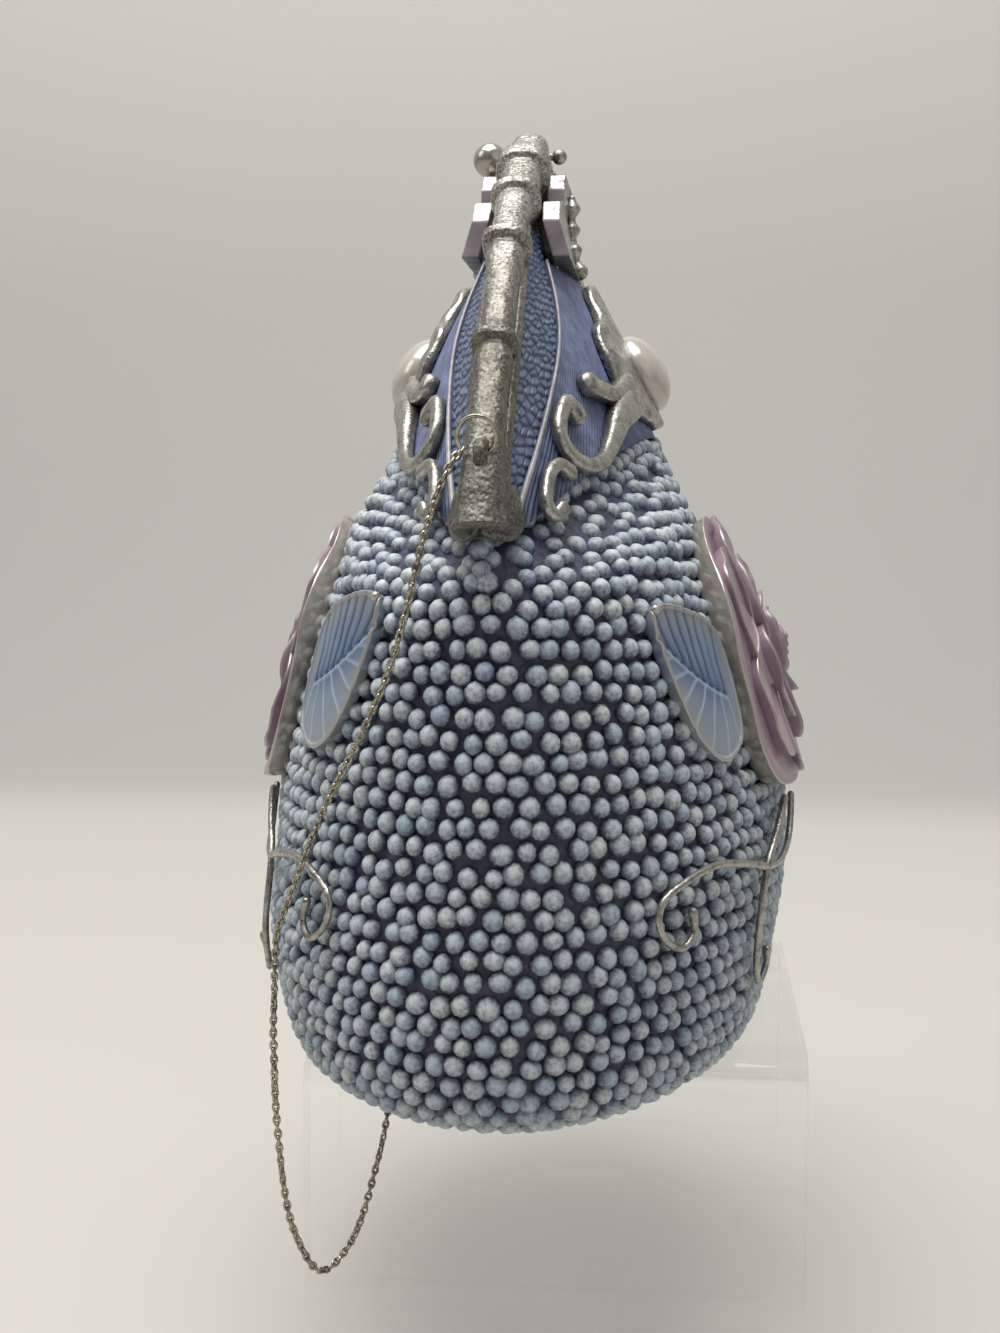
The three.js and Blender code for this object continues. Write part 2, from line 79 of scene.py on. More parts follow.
RING = {"radius": 1.5, "wire": 0.17, "lean": 0.3, "tilt": 0.25}
PLAQUE = {"thick": 1.7, "inner": 3.4, "lean": 0.3, "base": 76.6, "lean_over": 3.5, "border": 0.7,
          "sunk": 0.25, "round": 0.16}
CREST = {"low": 77.4, "high": 84.6, "radius": 0.62, "swell": 0.26, "waves": 3.5, "lift": 0.1}
MOUNT = {"thick": 1.3, "edge_drop": 0.35, "back": 0.1, "lobes": 16, "lobe": 0.12}
ARM = {"lift": 0.35, "tip": 0.25, "tip_length": 0.06, "square": 3.2, "flat": 0.8}
CURL = {"lift": 0.4, "radius": 0.56, "ends": 0.16, "square": 3.0, "flat": 0.9}
STEM = {"lift": 0.35, "thinner": 0.18, "end": 1.5}
BUD = {"turns": 2.3, "start": 0.2, "spread": 0.135, "squash": 0.85, "top": 3.35, "fall": 0.05,
       "radius": (0.26, 0.34), "tall": 1.5}
PEARL = {"x": 0.0, "z": 66.6, "radius": 4.1, "height": 2.6, "lift": 1.3, "lean": 0.55,
         "front": 0.98, "under": 0.5}
ROSE = {"x": 0.0, "z": 39.8, "half_long": 20.8, "half_tall": 12.6}
CLASP_PEARL = {"place": (2.0, -3.8, 88.1), "radius": 1.7, "post": (0.55, 0.4), "reach": (0, 0, -1.8),
               "turn": 0}
CLASP_KNOB = {"place": (0.0, 2.9, 88.7), "radius": 0.75, "post": (0.3, 0.45), "reach": (0, -0.9, 0),
              "turn": 90}
POST_LENGTH = 0.9
LEAF_SHIFT = {"front": (4.2, 1.2), "back": (0.0, 0.0)}
FRONT_FLAT = {"share": 0.065, "from": 13, "full": 24, "fade": 46, "end": 58}

# Layout of the beads: row is a share of the bead pitch, and the two rim gaps are shares of the row
BEADS = {"seed": 7, "row_level": 30.0, "row": 0.9, "rim_space": 1.4, "rim_row": 0.9, "top_row": 0.998,
         "lowest": 0.6, "drift": 0.15, "jitter": 0.17, "wander": 0.006, "size": (0.88, 1.05),
         "stretch": (0.92, 1.08), "under_leaf": 1.6, "under_rose": 0.84, "buried": -0.5}

# How far the clear sheet shows, as shares, and its index of refraction
ACRYLIC = {"plain": 0.08, "bend": 0.36, "rim": 0.22, "foot": 0.7, "shadow": 0.8, "index": 1.49}

# Distances in millimetres over which the bends, rims and feet of the clear sheet fade
ACRYLIC_FADE = {"bend": (4.0, 6.5), "rim": 0.4, "foot": (0.5, 6.0)}

# Shares of metal, grit, added roughness and relief of the two silvers
SILVERS = {"antique silver": {"metal": 0.55, "grit": 1.0, "rough": 0.16, "relief": 0.5},
           "bright silver": {"metal": 0.85, "grit": 0.3, "rough": 0.1, "relief": 0.25}}

# Camera in metres and degrees, with the photo's height and focal length in pixels
CAMERA = {"place": (0.163, 0.0141, 0.0777), "turn": 6.5, "tilt": 5.0, "sensor": 36, "focal": 1600,
          "height": 1333}

LEAF_HUB = (23.6, 37.2)
LEAF_TIP = (31.9, 42.4)
LEAF_BOW = 0.5
FACES = {"front": -1, "back": 1}
ENDS = {"near": 1, "far": -1}
CORNERS = [(end, face) for face in FACES for end in ENDS]

# Pouch sections over the bead tops: height, half depth, half width
POUCH_ROWS = np.array([
    (0, 5, 12), (0.3, 8.4, 20), (0.7, 11.4, 28), (1.4, 17, 33.5), (2.6, 21, 37), (4.4, 23.2, 39),
    (8, 24.4, 40.2), (12, 25.1, 40.7), (17, 25.9, 41), (22, 26.2, 41), (28, 25.8, 41), (36, 23.9, 40.8),
    (44, 21, 40.4), (50, 18.2, 39.8), (54.5, 16, 38.4), (58, 14.2, 36.9), (61, 13, 35.4)])

# Frame sections: height, half width at the bars, half depth at the middle, gusset width
TENT_ROWS = np.array([
    (50, 42, 17.8, 2.8), (54, 40.3, 15.8, 4.1), (58, 38.2, 13.9, 5.9), (62.5, 35.3, 11.9, 7.8),
    (68, 31.2, 9.3, 9.9), (72, 27.4, 7.2, 10), (77, 22, 4.4, 8.6), (81, 18, 3, 7.4)])

# Knuckled bar: along the bag, height, radius
BAR_ROWS = np.array([
    (40.5, 51.7, 2.3), (40.1, 53, 2), (39.2, 55.3, 1.8), (38.4, 56.6, 1.7), (36.7, 59.3, 1.55),
    (34.4, 62.2, 1.45), (31, 66.2, 1.45), (30.2, 67.1, 1.75), (29.4, 68, 1.4), (25.6, 72.2, 1.4),
    (22.4, 75.6, 1.5), (21.4, 76.6, 1.95), (20.4, 77.5, 1.5), (17, 79.9, 1.5), (14.8, 81.2, 1.6),
    (13.8, 81.8, 2.1), (12.8, 82.4, 1.6), (9, 84.5, 1.7), (7.4, 85.4, 2.3), (4.6, 86.9, 2.3),
    (3.2, 87.7, 1.6), (1.8, 88.6, 1.75), (0, 89.2, 1.8)])

# Swells and necks beside a knuckle of the bar: height, place, spread
KNUCKLE_WAVES = [(0.16, -2.6, 1.4), (-0.14, -1.25, 0.3), (-0.16, 0.5, 0.5)]

# Hammer marks on the bar and on the edges beside it: size, depth, seed
BAR_MARKS = [(1.5, 0.05, 0.0), (0.4, 0.015, 5.0)]
EDGE_MARKS = (0.8, 0.12, 2.0)

# Outlines and paths on a face: along the bag, height
LEAF_OUTLINE = [(31.5, 45.2), (26.5, 44.9), (22.4, 43), (22, 37), (22.8, 33.6), (26.6, 32), (29.4, 33.9),
                (31.6, 40.3)]
MOUNT_OUTLINE = [(0, 75.6), (4.4, 74.4), (7.2, 71.6), (11, 70), (12.4, 66), (11.8, 63.4), (8.4, 62.2),
                 (4, 61.9), (0, 61.5), (-4, 61.9), (-8.4, 62.2), (-11.8, 63.4), (-12.4, 66), (-11, 70),
                 (-7.2, 71.6), (-4.4, 74.4)]
PLAQUE_OUTLINE = [(0, 85.7), (6, 85.7), (7.8, 84), (7.8, 82.7), (12.6, 81.9), (14.4, 79.9), (14.4, 76.6),
                  (-14.4, 76.6), (-14.4, 79.9), (-12.6, 81.9), (-7.8, 82.7), (-7.8, 84), (-6, 85.7)]
BAR_NODES = [(30.2, 67.1), (21.4, 76.6), (13.8, 81.8), (7.2, 85.5), (2.6, 88.1)]
SCROLL_PATH = [(25, 61.2), (25.8, 62.2), (26.9, 61.6), (28.4, 60.2), (28.9, 58.8), (28.2, 57.5),
               (26.2, 56.9), (23.4, 57.5), (20.4, 59.2), (16.8, 61.4), (11, 63.4)]
ARM_PATH = [(20.4, 64.2), (17.9, 63.8), (15, 63.6), (10.6, 64.4)]
CURL_PATH = [(29.7, 56.2), (30.7, 56.8), (32.2, 56.2), (33.5, 54.8), (34.1, 53.6), (33.7, 52.7),
             (32.5, 53.2)]
STEM_MAIN = [(13.6, 26.8), (17, 24.8), (20.6, 21.8), (21.6, 17.5), (20.6, 13), (18.4, 10.8), (16.8, 12),
             (17.6, 13.6)]
STEM_SIDE = [(9, 26.4), (12, 23), (16.4, 21.6), (20.6, 21.8)]
STEM_TENDRIL = [(20.6, 21.8), (26.4, 23.3), (30, 23.8), (32.9, 23.1), (34.8, 21.9), (35.2, 20.3),
                (34.5, 18.5), (33.1, 17.6), (32.1, 18.6), (32.3, 20.4)]

# Scroll arms of a mount and lines of a stem, with their radii
MOUNT_ARMS = ((SCROLL_PATH, 0.68, 1.6), (ARM_PATH, 0.85, 1.6))
STEM_LINES = ((STEM_MAIN, 0.36), (STEM_SIDE, 0.33), (STEM_TENDRIL, 0.36))

# Leaf veins: share along the midrib, bearing of the groove above it and of the vein below it
LEAF_VEINS = [(0.02, 94, -104), (0.12, 89, -88), (0.23, 85, -72), (0.35, 82, -55), (0.48, 79, -38),
              (0.62, 75, -21), (0.8, 70, -5)]

# Rose petals: count, reach along, reach up, half length, half width, low, high, turn, silver on the edge;
# the silver is paint on the outer ring's edges and a painted highlight on the pale edges of the inner rings
ROSE_RINGS = [(7, 12.2, 5.8, 7.2, 6.0, 0.9, 2.3, 0.45, 0.9), (5, 6.0, 3.7, 5.4, 4.6, 1.4, 2.8, 0.9, 0.45),
              (3, 2.5, 1.9, 3.6, 3.1, 1.9, 3.2, 0.2, 0.35)]
ROSE_OUTLINE = [(21.2, 42), (19.6, 46.6), (15.6, 50), (11, 52.4), (6, 51), (0, 52), (-6, 51), (-11, 52.4),
                (-15.6, 50), (-19.6, 46.6), (-21.2, 42), (-21, 36.4), (-21.2, 32.2), (-18.6, 29),
                (-13, 28.2), (-6.6, 29), (0, 28.4), (6.6, 29), (13, 28.2), (18.6, 29),
                (21.2, 32.2), (21, 36.4)]
WEB_OUTLINE = [(36.2, 54.2), (38.4, 56), (40.2, 54.6), (40.9, 51.4), (38.8, 50.8), (37, 51.8)]

# Chain from the near ring, over the front, through its loop and round to the far ring
CHAIN_TOP = [(39.64, -1.59, 57.82), (40.2, -2.2, 57), (40.8, -4.1, 52.4)]
CHAIN_ON_POUCH = [(38.4, 40.6, 1.2), (37, 34.9, 1.0), (34.9, 29.3, 1.2), (32.9, 23.3, 2.0), (30.5, 18, 2.0),
                  (29.2, 14, 1.8)]
CHAIN_LOOP = [(28.6, -19.9, 7), (28.2, -19.6, -3), (27.2, -18.6, -11), (25.2, -16.6, -15.6),
              (22, -14.6, -14.4), (17, -12.8, -8), (11.4, -12, -0.6), (7.4, -12, 0.75), (2, -13.6, 0.7),
              (-8, -15.6, 0.7),
              (-18, -15.4, 0.7), (-27, -13.4, 0.7), (-35, -9.6, 0.8), (-39.4, -8, 3.4), (-41.9, -6.6, 10),
              (-42.1, -5.4, 24), (-41.9, -4.4, 40), (-40.9, -3.6, 51), (-40.2, -2.2, 57),
              (-39.64, -1.59, 57.82)]


# Shapes of the bag as functions of place
def column(rows, which, z):
    """Smooth value of one column of a table at the heights z."""
    at = np.clip(np.asarray(z, float), rows[0, 0], rows[-1, 0])
    i = np.clip(np.searchsorted(rows[:, 0], at, side="right") - 1, 0, len(rows) - 2)
    low = np.maximum(np.arange(len(rows)) - 1, 0)
    high = np.minimum(np.arange(len(rows)) + 1, len(rows) - 1)
    slope = (rows[high, which] - rows[low, which]) / (rows[high, 0] - rows[low, 0])
    span = rows[i + 1, 0] - rows[i, 0]
    t = (at - rows[i, 0]) / span
    first = (1 + 2 * t) * (1 - t) ** 2 * rows[i, which] + t * (1 - t) ** 2 * span * slope[i]
    second = t * t * (3 - 2 * t) * rows[i + 1, which] + t * t * (t - 1) * span * slope[i + 1]
    return first + second


def ease(value, low, high):
    """Smooth step from 0 at low to 1 at high."""
    t = np.clip((value - low) / (high - low), 0, 1)
    return t * t * (3 - 2 * t)


def rim_height(share):
    return RIM_END + RIM_RISE * (1 - share * share)


def pouch_depth(x, z, inset=0.0):
    """Half depth of the pouch at a place along the bag and a height."""
    share = np.minimum(np.abs(x) / (column(POUCH_ROWS, 2, z) - inset), 1)
    up = ease(z / rim_height(share), SHOULDER, 1)
    round_part = np.sqrt(1 - share * share)
    lens_part = 1 - share ** TENT_POWER
    return (column(POUCH_ROWS, 1, z) - inset) * ((1 - up) * round_part + up * lens_part)


def tent_depth(x, z):
    """Half depth of the frame above the mouth."""
    share = np.minimum(np.abs(x) / column(TENT_ROWS, 1, z), 1)
    return column(TENT_ROWS, 2, z) * (1 - share ** TENT_POWER)


def seam_at(z):
    return column(TENT_ROWS, 1, z) - column(TENT_ROWS, 3, z)


def lifted(depth_at, x, z, lift):
    """Points raised off the back face; the front face is its mirror."""
    x, z = np.broadcast_arrays(np.asarray(x, float), np.asarray(z, float))
    step = 0.05
    slope_x = (depth_at(x + step, z) - depth_at(x - step, z)) / (2 * step)
    slope_z = (depth_at(x, z + step) - depth_at(x, z - step)) / (2 * step)
    normal = unit(np.stack([-slope_x, np.ones_like(x), -slope_z], -1))
    return np.stack([x, depth_at(x, z), z], -1) + normal * np.asarray(lift)[..., None]


def raised_path(depth_at, x, z, lift):
    """Points raised off a face, and the way out of the face at each."""
    points = lifted(depth_at, x, z, lift)
    return points, lifted(depth_at, x, z, lift + 1.0) - points


def run_along(points):
    """Distance from the first point to each along a path."""
    return np.concatenate([[0], np.cumsum(np.linalg.norm(np.diff(points, axis=0), axis=1))])


def unit(vectors):
    return vectors / np.linalg.norm(vectors, axis=-1, keepdims=True)


def pouch_point(angle, share, inset=0.0):
    """Points of the pouch by angle round it and share of its height."""
    z = share * rim_height(np.abs(np.cos(angle)))
    x = np.cos(angle) * (column(POUCH_ROWS, 2, z) - inset)
    return np.stack([x, np.sign(np.sin(angle)) * pouch_depth(x, z, inset), z], -1)


def flattened(points):
    """Front of the bag, which bulges a little less than its back."""
    low = ease(points[:, 2], FRONT_FLAT["from"], FRONT_FLAT["full"])
    high = ease(points[:, 2], FRONT_FLAT["fade"], FRONT_FLAT["end"])
    moved = points.copy()
    moved[:, 1] *= np.where(points[:, 1] < 0, 1 - FRONT_FLAT["share"] * low * (1 - high), 1)
    return moved


def smooth_path(points, count, closed=False):
    """Evenly spaced points along a centripetal curve through the given ones."""
    given = np.asarray(points, float)
    if closed:
        ends = np.vstack([given[-1], given, given[0], given[1]])
    else:
        ends = np.vstack([2 * given[0] - given[1], given, 2 * given[-1] - given[-2]])
    fine = []
    for k in range(1, len(ends) - 2):
        quad = ends[k - 1:k + 3]
        knots = np.concatenate([[0], np.cumsum(np.linalg.norm(np.diff(quad, axis=0), axis=1) ** 0.5 + 1e-9)])
        t = np.linspace(knots[1], knots[2], 40, endpoint=False)[:, None]
        level = [quad[i] * (knots[i + 1] - t) / (knots[i + 1] - knots[i])
                 + quad[i + 1] * (t - knots[i]) / (knots[i + 1] - knots[i]) for i in range(3)]
        level = [level[i] * (knots[i + 2] - t) / (knots[i + 2] - knots[i])
                 + level[i + 1] * (t - knots[i]) / (knots[i + 2] - knots[i]) for i in range(2)]
        fine.append(level[0] * (knots[2] - t) / (knots[2] - knots[1])
                    + level[1] * (t - knots[1]) / (knots[2] - knots[1]))
    fine = np.vstack(fine + [ends[-2][None]])
    run = run_along(fine)
    want = np.linspace(0, run[-1], count, endpoint=not closed)
    return np.stack([np.interp(want, run, fine[:, i]) for i in range(fine.shape[1])], -1)


def chain_route(count):
    """Centre line of the chain, in the bag's own millimetres."""
    rows = np.array(CHAIN_ON_POUCH)
    flank = lifted(pouch_depth, rows[:, 0], rows[:, 1], rows[:, 2]) * (1, -1, 1)
    return smooth_path(np.vstack([CHAIN_TOP, flank, CHAIN_LOOP]), count)


def carried_frames(points):
    """Tangent and two side directions carried along a path without twist."""
    tangent = unit(np.gradient(points, axis=0))
    side = np.zeros_like(points)
    not_along = (0.3, 0.2, 0.93)
    side[0] = unit(np.cross(tangent[0], not_along))
    for i in range(1, len(points)):
        side[i] = unit(side[i - 1] - tangent[i] * np.dot(side[i - 1], tangent[i]))
    return tangent, side, np.cross(tangent, side)


# Mesh making
def mesh_from(name, bm):
    bm.normal_update()
    mesh = bpy.data.meshes.new(name)
    bm.to_mesh(mesh)
    bm.free()
    return mesh


def corner_array(mesh):
    flat = np.empty(len(mesh.vertices) * 3)
    mesh.vertices.foreach_get("co", flat)
    return flat.reshape(-1, 3)


def move_corners(mesh, points):
    mesh.vertices.foreach_set("co", np.ascontiguousarray(points).ravel())
    mesh.update()


def add_values(mesh, name, values):
    """One number per corner, for a material to read."""
    layer = mesh.attributes.new(name, "FLOAT", "POINT")
    layer.data.foreach_set("value", np.asarray(values, np.float32))


def grid_mesh(name, across, along):
    """Flat grid whose corners run from 0 to 1 both ways."""
    bm = bmesh.new()
    bmesh.ops.create_grid(bm, x_segments=across, y_segments=along, size=0.5)
    bmesh.ops.translate(bm, verts=bm.verts, vec=(0.5, 0.5, 0))
    return mesh_from(name, bm)


def ball_mesh(name, spokes, rings):
    bm = bmesh.new()
    bmesh.ops.create_uvsphere(bm, u_segments=spokes, v_segments=rings, radius=1)
    return mesh_from(name, bm)


def soften(bm, angle, width):
    """Small round on each edge that turns by more than an angle."""
    sharp = [edge for edge in bm.edges if edge.calc_face_angle(0) > angle]
    bmesh.ops.bevel(bm, geom=sharp, offset=width, offset_type="OFFSET", affect="EDGES", segments=2,
                    profile=0.5, material=-1)


def tidied(mesh):
    """Doubles merged, open ends closed and faces turned outward."""
    bm = bmesh.new()
    bm.from_mesh(mesh)
    bmesh.ops.remove_doubles(bm, verts=bm.verts, dist=1e-4)
    bmesh.ops.dissolve_degenerate(bm, edges=bm.edges, dist=1e-5)
    open_rims = [edge for edge in bm.edges if edge.is_boundary]
    if open_rims:
        bmesh.ops.holes_fill(bm, edges=open_rims, sides=0)
    bmesh.ops.recalc_face_normals(bm, faces=bm.faces)
    bm.to_mesh(mesh)
    bm.free()
    return mesh


def backed(mesh, depth):
    """A worked sheet closed behind by a plain wall and back, depth toward the inside of the bag."""
    bm = bmesh.new()
    bm.from_mesh(mesh)
    rim = [edge for edge in bm.edges if edge.is_boundary]
    grown = bmesh.ops.extrude_edge_only(bm, edges=rim)
    fresh = [item for item in grown["geom"] if isinstance(item, bmesh.types.BMVert)]
    bmesh.ops.translate(bm, verts=fresh, vec=(0, -depth, 0))
    bmesh.ops.holes_fill(bm, edges=[edge for edge in bm.edges if edge.is_boundary], sides=0)
    bmesh.ops.triangulate(bm, faces=[face for face in bm.faces if len(face.verts) > 4])
    bmesh.ops.recalc_face_normals(bm, faces=bm.faces)
    bm.to_mesh(mesh)
    bm.free()
    return mesh


def swept_mesh(name, points, radii, sides=10, square=2.0, across=None, flat=1.0, rounded=True):
    """Bar along a path; square over 2 flattens its four sides, and flat thins it along across."""
    points = np.asarray(points, float)
    radii = np.broadcast_to(np.asarray(radii, float), len(points)).copy()
    tangent, side, other = carried_frames(points)
    if across is not None:
        other = np.broadcast_to(np.asarray(across, float), points.shape)
        other = unit(other - tangent * np.sum(other * tangent, axis=1, keepdims=True))
        side = np.cross(other, tangent)
    if rounded:
        caps = np.array([0.0, 0.5, 0.85])
        back = np.array([1.0, 0.86, 0.52])
        first = points[0] - np.outer(back * radii[0], tangent[0])
        last = (points[-1] + np.outer(back * radii[-1], tangent[-1]))[::-1]
        points = np.vstack([first, points, last])
        radii = np.concatenate([caps * radii[0], radii, (caps * radii[-1])[::-1]])
        side = np.vstack([np.tile(side[0], (3, 1)), side, np.tile(side[-1], (3, 1))])
        other = np.vstack([np.tile(other[0], (3, 1)), other, np.tile(other[-1], (3, 1))])
    mesh = grid_mesh(name, sides, len(points) - 1)
    place = corner_array(mesh)
    row = np.rint(place[:, 1] * (len(points) - 1)).astype(int)
    angle = np.rint(place[:, 0] * sides) / sides * 2 * math.pi
    swell = (np.abs(np.cos(angle)) ** square + np.abs(np.sin(angle)) ** square) ** (-1 / square)
    out = side[row] * (np.cos(angle) * swell)[:, None] + other[row] * (np.sin(angle) * swell * flat)[:, None]
    move_corners(mesh, points[row] + out * radii[row][:, None])
    return tidied(mesh)


# Corners of a pad's ball at this height or above are on its top
PAD_TOP = -1e-6


def pad_mesh(name, outline, depth_at, spokes, rings, lifts, smooth=True):
    """Closed pad inside an outline on a face; lifts gives the height of each corner off the face."""
    edge = smooth_path(outline, spokes, closed=True) if smooth else np.asarray(outline, float)
    middle = np.mean(np.asarray(outline, float), axis=0)
    mesh = ball_mesh(name, spokes, rings)
    ball = corner_array(mesh)
    reach = np.minimum(np.hypot(ball[:, 0], ball[:, 1]), 1)
    spoke = np.rint((np.arctan2(ball[:, 1], ball[:, 0]) / (2 * math.pi)) % 1 * spokes).astype(int) % spokes
    flat = middle + (edge[spoke] - middle) * reach[:, None]
    lift = lifts(flat[:, 0], flat[:, 1], reach, ball[:, 2], spoke / spokes)
    move_corners(mesh, lifted(depth_at, flat[:, 0], flat[:, 1], lift))
    return mesh, reach, ball[:, 2]


def merged(name, meshes):
    """Several meshes as one, with their values and material numbers kept."""
    bm = bmesh.new()
    for mesh in meshes:
        bm.from_mesh(mesh)
        bpy.data.meshes.remove(mesh)
    return mesh_from(name, bm)


def repeated_mesh(name, pattern, frames, places):
    """Copies of a small mesh, turned by frames and set at places."""
    base = corner_array(pattern)
    count = len(places)
    points = np.einsum("nij,kj->nki", frames, base) + places[:, None, :]
    loops = np.empty(len(pattern.loops), np.int32)
    pattern.loops.foreach_get("vertex_index", loops)
    starts = np.empty(len(pattern.polygons), np.int32)
    pattern.polygons.foreach_get("loop_start", starts)
    mesh = bpy.data.meshes.new(name)
    mesh.vertices.add(count * len(base))
    mesh.loops.add(count * len(loops))
    mesh.polygons.add(count * len(starts))
    copies = np.arange(count, dtype=np.int32)[:, None]
    mesh.vertices.foreach_set("co", points.ravel())
    mesh.loops.foreach_set("vertex_index", (loops + copies * len(base)).ravel())
    mesh.polygons.foreach_set("loop_start", (starts + copies * len(loops)).ravel())
    mesh.update(calc_edges=True)
    mesh.validate()
    return mesh


def roughened(points, size, depth, seed):
    """Small hammer marks pressed into cast metal."""
    marks = np.array([noise.noise(Vector(p) / size + Vector((seed, 0, 0))) for p in points])
    return marks * depth


def place_piece(context, name, mesh, node, slot, *finishes, in_bag=True, keep_shading=False):
    """Set a mesh in the shared frame as a piece that stands for its node."""
    points = corner_array(mesh)
    if in_bag:
        points = flattened(points) + (0, BAG_Y, BASE)
    move_corners(mesh, points * MM)
    for finish in finishes:
        mesh.materials.append(finish)
    if not keep_shading:
        mesh.shade_smooth()
    piece = bpy.data.objects.new(name, mesh)
    context.scene.collection.objects.link(piece)
    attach(piece, "root")
    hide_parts(node)


def mirrored_mesh(mesh, along, across):
    """Copy of a mesh mirrored along or across the bag, with its faces turned back outward."""
    copy = mesh.copy()
    move_corners(copy, corner_array(copy) * (along, across, 1))
    if along * across < 0:
        copy.flip_normals()
    return copy


def place_on_face(context, name, mesh, node, slot, face, *finishes, keep_shading=False):
    """Set a mesh made for the back face on one face."""
    placed = mirrored_mesh(mesh, 1, FACES[face])
    place_piece(context, f"{name}_{face}", placed, f"{node}_{face}", slot, *finishes,
                keep_shading=keep_shading)


def place_at_corner(context, name, mesh, node, slot, end, face, finish):
    """Set a mesh made for the near end of the back face at one end of one face."""
    placed = mirrored_mesh(mesh, ENDS[end], FACES[face])
    place_piece(context, f"{name}_{end}_{face}", placed, f"{node}_{end}_{face}", slot, finish)


# Finishes
def new_group(name, inputs, outputs):
    group = bpy.data.node_groups.new(name, "ShaderNodeTree")
    for label, kind, value in inputs:
        socket = group.interface.new_socket(name=label, in_out="INPUT", socket_type=kind)
        socket.default_value = value
    for label, kind in outputs:
        group.interface.new_socket(name=label, in_out="OUTPUT", socket_type=kind)
    return group, group.nodes.new("NodeGroupInput"), group.nodes.new("NodeGroupOutput")


def add_node(tree, kind, **settings):
    node = tree.nodes.new(kind)
    for key, value in settings.items():
        setattr(node, key, value)
    return node


def feed(tree, socket, value):
    """Link a socket to another one, or set its plain value."""
    if isinstance(value, bpy.types.NodeSocket):
        tree.links.new(value, socket)
    else:
        socket.default_value = value


def opaque(colour, share=1.0):
    """Full colour for a socket, made darker or paler by a share."""
    return (*(part * share for part in colour), 1)


def noise_node(tree, scale, detail, rough):
    place = add_node(tree, "ShaderNodeTexCoord")
    cloud = add_node(tree, "ShaderNodeTexNoise")
    feed(tree, cloud.inputs["Vector"], place.outputs["Object"])
    feed(tree, cloud.inputs["Scale"], scale)
    feed(tree, cloud.inputs["Detail"], detail)
    feed(tree, cloud.inputs["Roughness"], rough)
    return cloud.outputs["Fac"]


def ramp_node(tree, source, stops):
    """Colour ramp; a stop has a place and a colour, or one number for a grey."""
    ramp = add_node(tree, "ShaderNodeValToRGB")
    feed(tree, ramp.inputs["Fac"], source)
    full = [(place, tone if isinstance(tone, tuple) else (tone, tone, tone, 1)) for place, tone in stops]
    elements = ramp.color_ramp.elements
    for element, (place, tone) in zip(elements, (full[0], full[-1])):
        element.position = place
        element.color = tone
    for place, tone in full[1:-1]:
        elements.new(place).color = tone
    return ramp.outputs["Color"]


def mix_node(tree, factor, first, second, blend="MIX"):
    """Colour mix whose three inputs are sockets or plain values."""
    mix = add_node(tree, "ShaderNodeMix", data_type="RGBA", blend_type=blend)
    for index, value in ((0, factor), (6, first), (7, second)):
        feed(tree, mix.inputs[index], value)
    return mix.outputs[2]


def math_node(tree, operation, first, second):
    node = add_node(tree, "ShaderNodeMath", operation=operation)
    feed(tree, node.inputs[0], first)
    feed(tree, node.inputs[1], second)
    return node.outputs[0]


def plus(tree, value, more):
    return math_node(tree, "ADD", value, more)


def times(tree, value, share):
    return math_node(tree, "MULTIPLY", value, share)


def dry_brush_group():
    """Pale paint dragged over the high places of a dark ground."""
    group, start, end = new_group("Dry brush", [
        ("Ground", "NodeSocketColor", (0.05, 0.06, 0.14, 1)),
        ("Brushed", "NodeSocketColor", (0.5, 0.56, 0.66, 1)),
        ("Height", "NodeSocketFloat", 0.5),
        ("Grain", "NodeSocketFloat", 900.0),
    ], [("Colour", "NodeSocketColor"), ("Cover", "NodeSocketFloat")])
    cloud = noise_node(group, start.outputs["Grain"], 4.0, 0.65)
    worn = times(group, plus(group, cloud, -0.5), 1.5)
    height = plus(group, start.outputs["Height"], worn)
    cover = ramp_node(group, height, [(0.25, 0), (0.55, 0.4), (0.95, 1)])
    colour = mix_node(group, cover, start.outputs["Ground"], start.outputs["Brushed"])
    feed(group, end.inputs["Colour"], colour)
    feed(group, end.inputs["Cover"], cover)
    return group


def pitted_group():
    """Casting pits and dark patina in the hollows of silver."""
    group, start, end = new_group("Pitted casting", [
        ("Clean", "NodeSocketColor", (0.7, 0.68, 0.63, 1)),
        ("Patina", "NodeSocketColor", (0.16, 0.15, 0.13, 1)),
        ("Scale", "NodeSocketFloat", 900.0),
        ("Grit", "NodeSocketFloat", 1.0),
    ], [("Colour", "NodeSocketColor"), ("Height", "NodeSocketFloat"), ("Roughness", "NodeSocketFloat")])
    place = add_node(group, "ShaderNodeTexCoord")
    cells = add_node(group, "ShaderNodeTexVoronoi", feature="SMOOTH_F1")
    feed(group, cells.inputs["Vector"], place.outputs["Object"])
    feed(group, cells.inputs["Scale"], start.outputs["Scale"])
    cloud = noise_node(group, 700.0, 6.0, 0.7)
    fine = noise_node(group, 4200.0, 3.0, 0.6)
    pits = plus(group, cells.outputs["Distance"], times(group, cloud, 1.3))
    stain = ramp_node(group, cloud, [(0.3, 0.9), (0.48, 0.2), (0.6, 0)])
    foil = ramp_node(group, fine, [(0.36, 0.35), (0.64, 1.5)])
    sparkle = mix_node(group, start.outputs["Grit"], start.outputs["Clean"], foil, "MULTIPLY")
    feed(group, end.inputs["Colour"], mix_node(group, stain, sparkle, start.outputs["Patina"]))
    feed(group, end.inputs["Height"], plus(group, pits, times(group, fine, 0.35)))
    feed(group, end.inputs["Roughness"], plus(group, times(group, stain, 0.3), times(group, fine, 0.36)))
    return group


